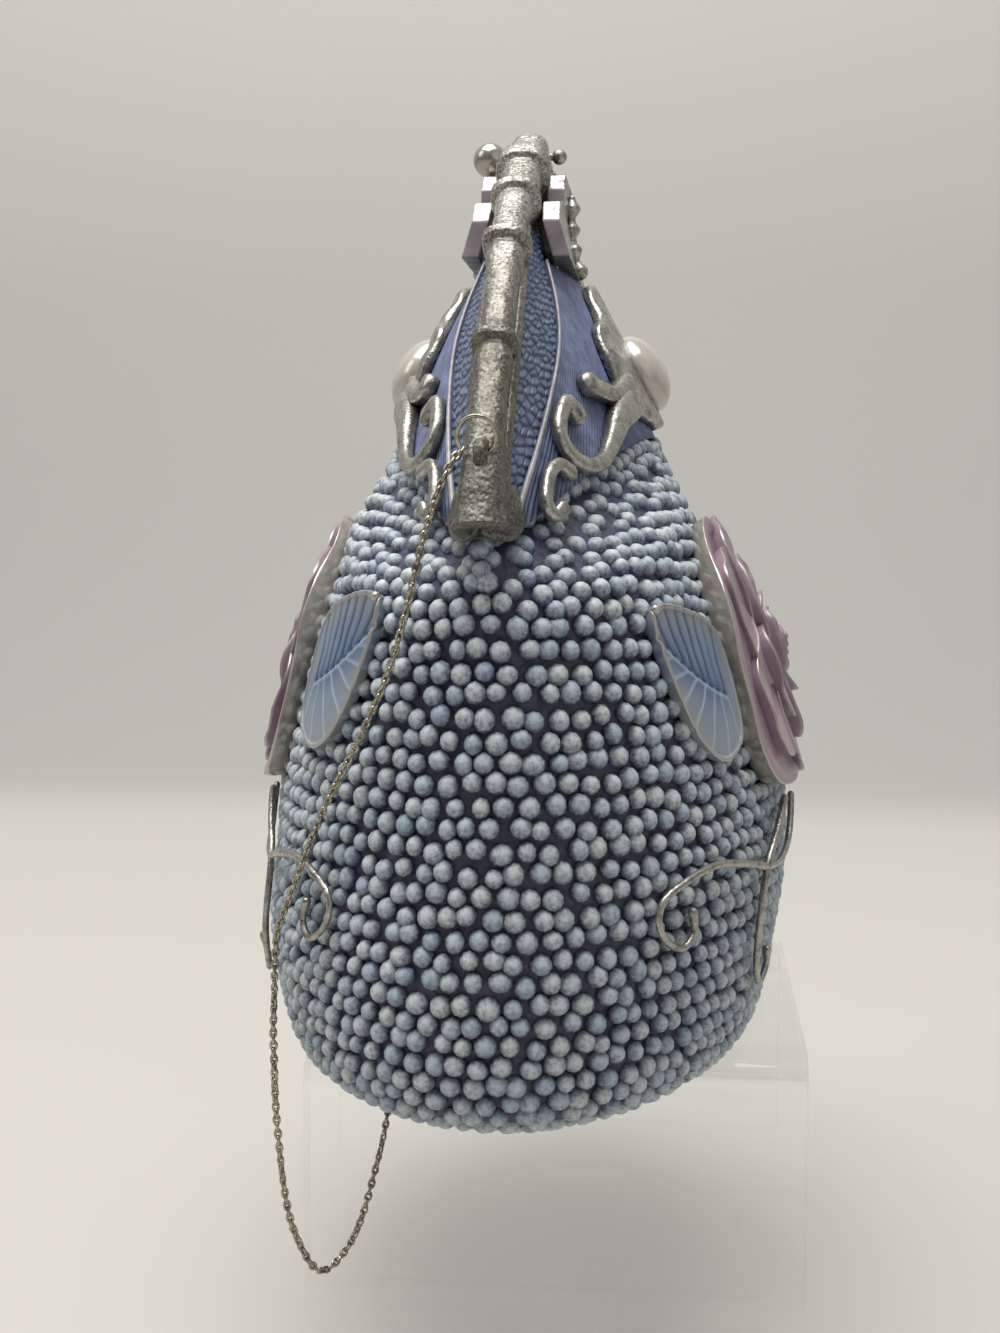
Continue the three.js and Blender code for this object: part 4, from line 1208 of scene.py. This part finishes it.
class BAG_OT_plaques(bpy.types.Operator):
    """Stepped silver plaques at the top of each face"""
    bl_idname = "bag.plaques"
    bl_label = "Top plaques"

    def execute(self, context):
        colours = context.scene.bag_colours
        mesh = merged("plaque", [self.slab(), self.crest()])
        silver = silver_finish("bright silver", colours)
        violet = painted_finish("dark violet", opaque(colours.violet), opaque(colours.violet, 1.6), 400.0,
                                0.45)
        for face in FACES:
            place_on_face(context, "top_plaque_cast", mesh, "top_plaque", "silver", face, silver, violet,
                          keep_shading=True)
        return {"FINISHED"}

    def leaned(self, z):
        """How far the plaque leans in at a height."""
        return np.minimum(z - PLAQUE["base"], PLAQUE["lean_over"]) * PLAQUE["lean"]

    def slab(self):
        """Stepped plate with a sunk panel, whose ends are marked for dark violet: painted shade with a
        violet tint.
        """
        bm = bmesh.new()
        outline = [bm.verts.new((x, PLAQUE["inner"], z)) for x, z in PLAQUE_OUTLINE]
        raised = bmesh.ops.extrude_face_region(bm, geom=[bm.faces.new(outline)])
        fresh = [item for item in raised["geom"] if isinstance(item, bmesh.types.BMVert)]
        bmesh.ops.translate(bm, verts=fresh, vec=(0, PLAQUE["thick"], 0))
        bmesh.ops.recalc_face_normals(bm, faces=bm.faces)
        front = [face for face in bm.faces if face.normal.y > 0.9]
        bmesh.ops.inset_region(bm, faces=front, thickness=PLAQUE["border"], depth=-PLAQUE["sunk"])
        soften(bm, 0.5, PLAQUE["round"])
        bmesh.ops.triangulate(bm, faces=[face for face in bm.faces if len(face.verts) > 4])
        # Ends that face along the bag take dark violet, painted shade with a violet tint
        for face in bm.faces:
            face.material_index = 1 if abs(face.normal.x) > 0.8 else 0
        for vert in bm.verts:
            vert.co.y -= self.leaned(vert.co.z)
        slab = mesh_from("slab", bm)
        slab.shade_flat()
        return slab

    def crest(self):
        """Beaded rib up the middle of the plaque."""
        count = 60
        z = np.linspace(CREST["low"], CREST["high"], count)
        outer = PLAQUE["inner"] + PLAQUE["thick"] - self.leaned(z)
        wave = np.cos(np.linspace(0, 2 * math.pi * CREST["waves"], count))
        crest = swept_mesh("crest", np.stack([np.zeros(count), outer + CREST["lift"], z], -1),
                           CREST["radius"] + CREST["swell"] * wave, 14)
        crest.shade_smooth()
        return crest


class BAG_OT_clasp(bpy.types.Operator):
    """Pearl and knob of the clasp"""
    bl_idname = "bag.clasp"
    bl_label = "Clasp"

    def execute(self, context):
        colours = context.scene.bag_colours
        pearl = self.ball_on_post("clasp_pearl", CLASP_PEARL, 32, 20)
        knob = self.ball_on_post("clasp_knob", CLASP_KNOB, 20, 14)
        place_piece(context, "clasp_pearl", pearl, "clasp_pearl_front", "pearl",
                    pearl_finish("grey pearl", colours.pearl, 0.75, 0.55))
        place_piece(context, "clasp_knob", knob, "clasp_knob_back", "silver",
                    silver_finish("bright silver", colours))
        return {"FINISHED"}

    def ball_on_post(self, name, knob, spokes, rings):
        bm = bmesh.new()
        bmesh.ops.create_uvsphere(bm, u_segments=spokes, v_segments=rings, radius=knob["radius"])
        first, second = knob["post"]
        post = bmesh.ops.create_cone(bm, cap_ends=True, segments=16, radius1=first, radius2=second,
                                     depth=POST_LENGTH)
        turn = Matrix.Rotation(math.radians(knob["turn"]), 3, "X")
        bmesh.ops.rotate(bm, verts=post["verts"], cent=(0, 0, 0), matrix=turn)
        bmesh.ops.translate(bm, verts=post["verts"], vec=knob["reach"])
        bmesh.ops.translate(bm, verts=bm.verts, vec=knob["place"])
        return mesh_from(name, bm)


class BAG_OT_mounts(bpy.types.Operator):
    """Silver mounts with scroll arms, and their pearls"""
    bl_idname = "bag.mounts"
    bl_label = "Face mounts and pearls"

    def execute(self, context):
        colours = context.scene.bag_colours
        parts = [self.plate()]
        for way in ENDS.values():
            parts += [self.arm(way, *arm) for arm in MOUNT_ARMS]
        mount, pearl = merged("mount", parts), self.pearl()
        silver = silver_finish("bright silver", colours)
        cream = pearl_finish("cream pearl", colours.pearl, 1.0, 0.2)
        for face in FACES:
            place_on_face(context, "face_mount_cast", mount, "face_mount", "silver", face, silver)
            place_on_face(context, "face_pearl_dome", pearl, "face_pearl", "pearl", face, cream)
        return {"FINISHED"}

    def plate(self):
        """Plate behind the pearl, with a lobed edge."""
        def lifts(x, z, reach, height, turn):
            lobes = MOUNT["lobe"] * np.cos(turn * 2 * math.pi * MOUNT["lobes"]) * ease(reach, 0.5, 0.9)
            top = MOUNT["thick"] + lobes - MOUNT["edge_drop"] * ease(reach, 0.96, 1.0)
            return np.where(height >= PAD_TOP, top, MOUNT["back"])
        mesh, _, _ = pad_mesh("mount_plate", MOUNT_OUTLINE, tent_depth, 96, 28, lifts)
        return mesh

    def arm(self, way, path, start, end):
        count = 70
        points, normal = raised_path(tent_depth, *smooth_path(path, count).T, GAP + ARM["lift"])
        along = np.linspace(0, 1, count)
        radii = start + (end - start) * ease(along, 0.45, 1.0)
        radii += ARM["tip"] * np.exp(-(along / ARM["tip_length"]) ** 2)
        turn = (way, 1, 1)
        return swept_mesh("arm", points * turn, radii, 16, square=ARM["square"], across=normal * turn,
                          flat=ARM["flat"])

    def pearl(self):
        """Dome that leans back with the face, flatter under its rim."""
        seat = unit(np.array((0, 1, PEARL["lean"])))
        rise = np.cross((1, 0, 0), seat)
        base = lifted(tent_depth, PEARL["x"], PEARL["z"], PEARL["lift"])
        pearl = ball_mesh("face_pearl", 48, 32)
        ball = corner_array(pearl)
        along, up = ball[:, 0] * PEARL["radius"], ball[:, 1] * PEARL["radius"]
        out = ball[:, 2] * PEARL["height"] * np.where(ball[:, 2] > 0, PEARL["front"], PEARL["under"])
        move_corners(pearl, base + np.outer(along, (1, 0, 0)) + np.outer(up, rise) + np.outer(out, seat))
        return tidied(pearl)


class BAG_OT_end_curls(bpy.types.Operator):
    """Small C-scrolls beside the ends of the frame"""
    bl_idname = "bag.end_curls"
    bl_label = "End curls"

    def execute(self, context):
        count = 48
        points, normal = raised_path(tent_depth, *smooth_path(CURL_PATH, count).T, GAP + CURL["lift"])
        radii = CURL["radius"] + CURL["ends"] * np.abs(np.linspace(-1, 1, count)) ** 4
        mesh = swept_mesh("curl", points, radii, 16, square=CURL["square"], across=normal, flat=CURL["flat"])
        silver = silver_finish("bright silver", context.scene.bag_colours)
        for corner in CORNERS:
            place_at_corner(context, "end_curl_cast", mesh, "end_curl", "silver", *corner, silver)
        return {"FINISHED"}


class BAG_OT_roses(bpy.types.Operator):
    """Rose of cupped petals on each face"""
    bl_idname = "bag.roses"
    bl_label = "Roses"

    def execute(self, context):
        colours = context.scene.bag_colours
        petals = [self.backing()]
        seed = 0.0
        for count, *ring, turn, edge in ROSE_RINGS:
            for i in range(count):
                seed += 1.0
                angle = turn + i / count * 2 * math.pi + 0.13 * math.sin(seed * 2.4)
                petals.append(self.petal(angle, *ring, edge, seed))
        petals.append(self.bud())
        mauve = painted_finish("rose paint", opaque(colours.rose), opaque(colours.rose, 0.72), 240.0, 0.32,
                               silver=opaque(colours.silver_bright))
        pewter = petal_back_finish("petal back", colours.petal_back)
        mesh = merged("rose", petals)
        for face in FACES:
            place_on_face(context, "rose_petals", mesh, "rose", "rose", face, mauve, pewter)
        return {"FINISHED"}

    def petal(self, angle, reach, rise, half_long, half_wide, low, high, edge, seed):
        """Cupped petal with a creased middle and a ruffled free edge."""
        centre = (ROSE["x"] + math.cos(angle) * reach, ROSE["z"] + math.sin(angle) * rise)
        spokes = 44
        turns = np.arange(spokes) / spokes * 2 * math.pi
        ragged = 1 + 0.05 * np.sin(3 * turns + seed) + 0.035 * np.sin(5 * turns + 2.3 * seed)
        tip = np.exp(-(np.angle(np.exp(1j * turns)) / 0.3) ** 2) * 0.1 * math.sin(seed * 1.9)
        out = np.cos(turns) * half_long * (ragged + tip)
        side = np.sin(turns) * half_wide * ragged * (1 + 0.18 * np.cos(turns))
        outline = np.stack([centre[0] + out * math.cos(angle) - side * math.sin(angle),
                            centre[1] + out * math.sin(angle) + side * math.cos(angle)], -1)
        top = high + 0.3 * math.sin(seed * 3.1)

        def lifts(x, z, distance, height, turn):
            around = turn * 2 * math.pi
            outward = distance * np.cos(around)
            sideways = distance * np.sin(around)
            cup = 0.05 + 0.3 * sideways ** 2 + 0.75 * ((outward + 1) / 2) ** 2
            waves = 0.14 * np.sin(3 * around + seed * 2.1) + 0.1 * np.sin(5 * around + seed)
            ruffle = waves * distance ** 3
            fold = np.exp(-((sideways - 0.1 * math.sin(seed)) / 0.14) ** 2)
            crease = -0.2 * fold * ease(outward, -0.3, 0.7)
            surface = low + (top - low) * np.clip(cup + ruffle + crease, 0, 1.15)
            under = ease(-height, 0.0, 0.4)
            return np.maximum(surface * (1 - under) + 0.5 * under, GAP)
        mesh, distance, height = pad_mesh("petal", outline, pouch_depth, spokes, 30, lifts, smooth=False)
        # Edge: silver paint on the outer ring, a painted highlight on the pale edges of the inner rings
        add_values(mesh, "edge", ease(distance, 0.97, 0.99) * (height > -0.02) * edge)
        return mesh

    def bud(self):
        """Rolled petals at the heart, as one spiral."""
        count = 130
        turns = np.linspace(0, BUD["turns"] * 2 * math.pi, count)
        spread = BUD["start"] + turns * BUD["spread"]
        x = ROSE["x"] + spread * np.cos(turns)
        z = ROSE["z"] + spread * BUD["squash"] * np.sin(turns)
        points, normal = raised_path(pouch_depth, x, z, BUD["top"] - BUD["fall"] * turns)
        radii = np.linspace(*BUD["radius"], count)
        mesh = swept_mesh("bud", points, radii, 10, across=normal, flat=BUD["tall"])
        # A faint silver over the whole bud is a painted highlight
        add_values(mesh, "edge", np.full(len(mesh.vertices), 0.15))
        return mesh

    def backing(self):
        """Lowest petals as one dish, with a smooth outer wall up to a thin bright edge."""
        def lifts(x, z, distance, height, turn):
            around = turn * 2 * math.pi
            wave = 0.22 * np.sin(around * 6 + 1.0) + 0.12 * np.sin(around * 9)
            top = 1.6 + wave - 0.3 * ease(z, 46, 52)
            inside = top - 0.5 * (1 - ease(distance, 0.84, 0.97))
            wall = top - (top + 0.6) * ease(-height, 0.0, 0.26)
            return np.where(height >= PAD_TOP, inside, wall)
        mesh, distance, height = pad_mesh("backing", ROSE_OUTLINE, pouch_depth, 120, 72, lifts)
        add_values(mesh, "edge", ease(distance, 0.984, 0.993))
        for face in mesh.polygons:
            face.material_index = int(min(height[list(face.vertices)]) < -0.03)
        return mesh


def near_line(x, z, start, bearing, curve):
    """Distance of places from a slightly bent and wavering line that starts at a point."""
    way = np.array((math.cos(math.radians(bearing)), math.sin(math.radians(bearing))))
    run = (x - start[0]) * way[0] + (z - start[1]) * way[1]
    off = (z - start[1]) * way[0] - (x - start[0]) * way[1]
    bent = off - curve * run ** 2 - 0.06 * np.sin(run * 1.7 + bearing)
    return np.where(run > 0, np.abs(bent), np.hypot(run, off))


class BAG_OT_leaves(bpy.types.Operator):
    """Broad veined leaves either side of each rose"""
    bl_idname = "bag.leaves"
    bl_label = "Leaves"

    def execute(self, context):
        finish = leaf_finish("leaf paint", context.scene.bag_colours)
        leaves = {face: self.leaf(shift) for face, shift in LEAF_SHIFT.items()}
        for end, face in CORNERS:
            place_at_corner(context, "leaf_blade", leaves[face], "leaf", "leaf", end, face, finish)
        return {"FINISHED"}

    def marks(self, x, z, reach, shift):
        """Shares of groove, vein and paint at places on the leaf."""
        hub = np.array(LEAF_HUB) + shift
        span = np.array(LEAF_TIP) - LEAF_HUB
        length = np.hypot(*span)
        across = np.array((-span[1], span[0])) / length
        along = ((x - hub[0]) * span[0] + (z - hub[1]) * span[1]) / length ** 2
        bowed = LEAF_BOW * np.sin(np.clip(along, 0, 1) * math.pi)
        above = (x - hub[0]) * across[0] + (z - hub[1]) * across[1] + bowed
        groove, vein = np.zeros_like(x), np.zeros_like(x)
        for share, up, down in LEAF_VEINS:
            start = hub + span * share - across * LEAF_BOW * math.sin(share * math.pi)
            deep = 0.75 + 0.25 * math.sin(share * 41)
            groove = np.maximum(groove, deep * np.exp(-(near_line(x, z, start, up, 0.008) / 0.13) ** 2))
            vein = np.maximum(vein, np.exp(-(near_line(x, z, start, down, 0.035) / 0.12) ** 2))
        on_rib = ease(along, -0.04, 0.02)
        ticks = 0.55 + 0.45 * np.sin(along * 2 * math.pi * 9)
        rib = np.exp(-((above + 0.12) / 0.2) ** 2) * on_rib
        beside = np.exp(-((above - 0.28) / 0.2) ** 2) * on_rib * ticks
        return {"groove": np.clip(groove * ease(above, 0.15, 0.6) + beside, 0, 1),
                "vein": np.clip(vein * ease(-above, 0.0, 0.3) + 0.8 * rib, 0, 1),
                "below": ease(-above, -0.8, 1.6),
                "heart": np.exp(-(above / 1.5) ** 2) * ease(along, -0.12, 0.2),
                "worn": ease(reach, 0.5, 0.95)}

    def leaf(self, shift):
        """Dished blade with a raised rim, and the small knob at its tip."""
        outline = [(x + shift[0], z + shift[1]) for x, z in LEAF_OUTLINE]
        marks = {}

        def lifts(x, z, reach, height, turn):
            marks.update(self.marks(x, z, reach, shift))
            rim = 0.14 * ease(reach, 0.93, 0.955) * (1 - 0.7 * ease(reach, 0.98, 1.0))
            dish = 0.48 - 0.3 * (1 - reach ** 2)
            top = dish + 0.1 * marks["vein"] - 0.22 * marks["groove"] + rim
            wall = top - (top + 0.6) * ease(-height, 0.0, 0.2)
            return np.where(height >= PAD_TOP, top, wall)
        mesh, reach, height = pad_mesh("leaf", outline, pouch_depth, 176, 96, lifts)
        rim = 0.5 * ease(reach, 0.925, 0.955) + 0.5 * ease(reach, 0.988, 0.997)
        add_values(mesh, "edge", np.where(height > -0.05, rim, 0.12))
        knob = ball_mesh("leaf_tip", 12, 8)
        place = lifted(pouch_depth, outline[0][0] - 0.2, outline[0][1] - 0.1, 0.45)
        move_corners(knob, corner_array(knob) * 0.42 + place)
        add_values(knob, "edge", np.ones(len(knob.vertices)))
        for name, values in marks.items():
            add_values(mesh, name, values)
            add_values(knob, name, np.zeros(len(knob.vertices)))
        return merged("leaf", [mesh, knob])


class BAG_OT_stems(bpy.types.Operator):
    """Silver stems and tendrils below each rose"""
    bl_idname = "bag.stems"
    bl_label = "Stems"

    def execute(self, context):
        mesh = merged("stem_lines", [self.line(path, thick) for path, thick in STEM_LINES])
        silver = silver_finish("bright silver", context.scene.bag_colours)
        for corner in CORNERS:
            place_at_corner(context, "stem_lines", mesh, "stem", "silver", *corner, silver)
        return {"FINISHED"}

    def line(self, path, thick):
        """Wire that thins along its way and swells at its last end."""
        count, swell = 90, 6
        points = lifted(pouch_depth, *smooth_path(path, count).T, GAP + STEM["lift"])
        radii = thick * (1 - STEM["thinner"] * np.linspace(0, 1, count))
        radii[-swell:] *= np.linspace(1.0, STEM["end"], swell)
        return swept_mesh("line", points, radii, 12)


class BAG_OT_rings(bpy.types.Operator):
    """Rings that join the chain to the frame"""
    bl_idname = "bag.rings"
    bl_label = "Jump rings"

    def execute(self, context):
        turn = np.linspace(0, 2 * math.pi, 65)
        rise = RING["radius"] * (1 - np.cos(turn))
        sway = RING["radius"] * np.sin(turn)
        across = sway * math.cos(RING["tilt"]) - rise * math.sin(RING["tilt"])
        up = sway * math.sin(RING["tilt"]) + rise * math.cos(RING["tilt"])
        path = np.stack([LUG["x"] + up * RING["lean"], across, LUG["z"] + up], -1)
        mesh = swept_mesh("ring", path, RING["wire"], 12)
        finish = chain_finish("dull chain silver", context.scene.bag_colours)
        for end, way in ENDS.items():
            placed = mirrored_mesh(mesh, way, 1)
            place_piece(context, f"jump_ring_wire_{end}", placed, f"jump_ring_{end}", "chain", finish)
        return {"FINISHED"}


class BAG_OT_chain(bpy.types.Operator):
    """Fine chain of linked rings along its whole way"""
    bl_idname = "bag.chain"
    bl_label = "Chain"

    def execute(self, context):
        sizes = context.scene.bag_sizes
        route = chain_route(4000)
        overlap = 0.54
        count = int(round(run_along(route)[-1] / (sizes.link_length * overlap)))
        spots = np.linspace(0, len(route) - 1, count).round().astype(int)
        tangent, side, other = carried_frames(route)
        twist, half_turn = 0.12, 0.7
        roll = np.arange(count) * twist + np.where(np.arange(count) % 2 == 0, half_turn, -half_turn)
        first = side[spots] * np.cos(roll)[:, None] + other[spots] * np.sin(roll)[:, None]
        second = np.cross(tangent[spots], first)
        frames = np.stack([tangent[spots], first, second], -1)
        mesh = repeated_mesh("chain_links", self.link(sizes), frames, route[spots])
        finish = chain_finish("dull chain silver", context.scene.bag_colours)
        place_piece(context, "chain_links", mesh, "chain", "chain", finish)
        return {"FINISHED"}

    def link(self, sizes):
        half_long = sizes.link_length / 2 - sizes.link_wire
        half_wide = sizes.link_width / 2 - sizes.link_wire
        bm = bmesh.new()
        made = bmesh.ops.create_circle(bm, segments=5, radius=sizes.link_wire)
        upright = Matrix.Rotation(math.pi / 2, 3, "X")
        bmesh.ops.rotate(bm, verts=made["verts"], cent=(0, 0, 0), matrix=upright)
        bmesh.ops.translate(bm, verts=made["verts"], vec=(half_wide, 0, 0))
        bmesh.ops.spin(bm, geom=bm.verts[:] + bm.edges[:], cent=(0, 0, 0), axis=(0, 0, 1), dvec=(0, 0, 0),
                       angle=2 * math.pi, steps=10, use_merge=True)
        bmesh.ops.remove_doubles(bm, verts=bm.verts, dist=1e-5)
        for vert in bm.verts:
            reach = math.hypot(vert.co.x, vert.co.y)
            vert.co.x += (half_long - half_wide) * vert.co.x / reach
        bmesh.ops.recalc_face_normals(bm, faces=bm.faces)
        return mesh_from("one_link", bm)


class BAG_OT_stage(bpy.types.Operator):
    """Pale seamless floor that glows as painted light, soft lights and the camera"""
    bl_idname = "bag.stage"
    bl_label = "Stage"

    def execute(self, context):
        self.floor(context)
        self.lights(context)
        self.camera(context)
        return {"FINISHED"}

    def floor(self, context):
        mesh = grid_mesh("seamless_floor", 2, 240)
        place = corner_array(mesh)
        run = place[:, 1] * 2.4 - 0.9
        back, bend = 0.24, 0.16
        arc = np.clip((run - back) / bend, 0, math.pi / 2)
        straight = np.maximum(run - back - bend * math.pi / 2, 0)
        x = -(np.minimum(run, back) + bend * np.sin(arc))
        z = bend * (1 - np.cos(arc)) + straight - 0.00004
        move_corners(mesh, np.stack([x, (place[:, 0] - 0.5) * 6, z], -1))
        add_values(mesh, "wall", ease(run, 0.245, 0.29))
        add_values(mesh, "high", ease(z, 0.0, 0.4))
        # The floor glows as painted light, which lifts the shadow under the bag; the wall glows dimmer at
        # its foot and brighter higher up, as painted shade and light
        finish, tree, shader = new_finish("pale paper with painted glow", Roughness=0.9, Emission_Strength=1.0)
        behind = mix_node(tree, surface_value(tree, "high"), (0.13, 0.127, 0.12, 1), (0.33, 0.322, 0.295, 1))
        painted_glow = mix_node(tree, surface_value(tree, "wall"), (0.27, 0.26, 0.235, 1), behind)
        paper = shared_group(tree, "Uneven paint", Colour=(0.31, 0.302, 0.283, 1),
                             Shade=(0.3, 0.292, 0.273, 1), Scale=3.0)
        feed(tree, shader.inputs["Base Color"], paper.outputs["Colour"])
        feed(tree, shader.inputs["Emission Color"], painted_glow)
        mesh.materials.append(finish)
        mesh.shade_smooth()
        floor = bpy.data.objects.new("seamless_floor", mesh)
        context.scene.collection.objects.link(floor)

    def lights(self, context):
        for name, place, aim, size, power, colour in (
                ("top_light", (0.06, -0.06, 0.62), (0, 0, 0.05), 0.45, 4.8, (1.0, 0.985, 0.95)),
                ("key_light", (0.2, -0.5, 0.45), (0, 0, 0.07), 0.3, 0.7, (1.0, 0.98, 0.95)),
                ("fill_light", (0.45, 0.4, 0.3), (0, 0, 0.07), 0.5, 0.45, (0.99, 0.99, 1.0))):
            lamp = bpy.data.lights.new(name, "AREA")
            lamp.energy = power
            lamp.size = size
            lamp.color = colour
            holder = bpy.data.objects.new(name, lamp)
            holder.location = place
            holder.rotation_euler = (Vector(aim) - Vector(place)).to_track_quat("-Z", "Y").to_euler()
            context.scene.collection.objects.link(holder)
        world = bpy.data.worlds.new("soft room")
        world.use_nodes = True
        tree = world.node_tree
        way = add_node(tree, "ShaderNodeTexCoord")
        parts = add_node(tree, "ShaderNodeSeparateXYZ")
        feed(tree, parts.inputs["Vector"], way.outputs["Generated"])
        sky = ramp_node(tree, parts.outputs["Z"], [
            (0.0, 0.16), (0.3, 0.3), (0.75, (0.9, 0.9, 0.88, 1)), (1.0, (1, 1, 0.98, 1))])
        toward_eye = ramp_node(tree, parts.outputs["X"], [(0.0, 1), (0.7, 0.3)])
        room = mix_node(tree, 1.0, sky, toward_eye, "MULTIPLY")
        seen = add_node(tree, "ShaderNodeLightPath").outputs["Is Camera Ray"]
        background = tree.nodes["Background"]
        feed(tree, background.inputs["Color"], mix_node(tree, seen, room, (1.0, 0.975, 0.89, 1)))
        feed(tree, background.inputs["Strength"], 0.55)
        context.scene.world = world

    def camera(self, context):
        lens = bpy.data.cameras.new("photo_view")
        lens.sensor_width = CAMERA["sensor"]
        lens.lens = CAMERA["sensor"] * CAMERA["focal"] / CAMERA["height"]
        lens.clip_start = 0.005
        eye = bpy.data.objects.new("photo_view", lens)
        eye.location = CAMERA["place"]
        turn, tilt = math.radians(CAMERA["turn"]), math.radians(CAMERA["tilt"])
        level = math.cos(tilt)
        ahead = Vector((-math.cos(turn) * level, -math.sin(turn) * level, -math.sin(tilt)))
        eye.rotation_euler = ahead.to_track_quat("-Z", "Y").to_euler()
        context.scene.collection.objects.link(eye)
        context.scene.camera = eye
        context.scene.view_settings.view_transform = "Standard"


STEPS = (BAG_OT_stage, BAG_OT_chain, BAG_OT_riser, BAG_OT_pouch, BAG_OT_beads, BAG_OT_fan_panels,
         BAG_OT_gussets, BAG_OT_arch, BAG_OT_plaques, BAG_OT_clasp, BAG_OT_mounts, BAG_OT_end_curls,
         BAG_OT_roses, BAG_OT_leaves, BAG_OT_stems, BAG_OT_rings)


class BAG_PT_panel(bpy.types.Panel):
    """Steps that dress the bag"""
    bl_idname = "BAG_PT_panel"
    bl_label = "Evening bag"
    bl_space_type = "VIEW_3D"
    bl_region_type = "UI"
    bl_category = "Evening Bag"

    def draw(self, context):
        for step in STEPS:
            self.layout.operator(step.bl_idname)


CLASSES = (BagSizes, BagColours) + STEPS + (BAG_PT_panel,)


def register():
    for item in CLASSES:
        bpy.utils.register_class(item)
    bpy.types.Scene.bag_sizes = bpy.props.PointerProperty(type=BagSizes)
    bpy.types.Scene.bag_colours = bpy.props.PointerProperty(type=BagColours)


def unregister():
    del bpy.types.Scene.bag_colours
    del bpy.types.Scene.bag_sizes
    for item in reversed(CLASSES):
        bpy.utils.unregister_class(item)


def main():
    register()
    for step in STEPS:
        family, action = step.bl_idname.split(".")
        getattr(getattr(bpy.ops, family), action)()
    bpy.context.view_layer.update()


if __name__ == "__main__":
    main()
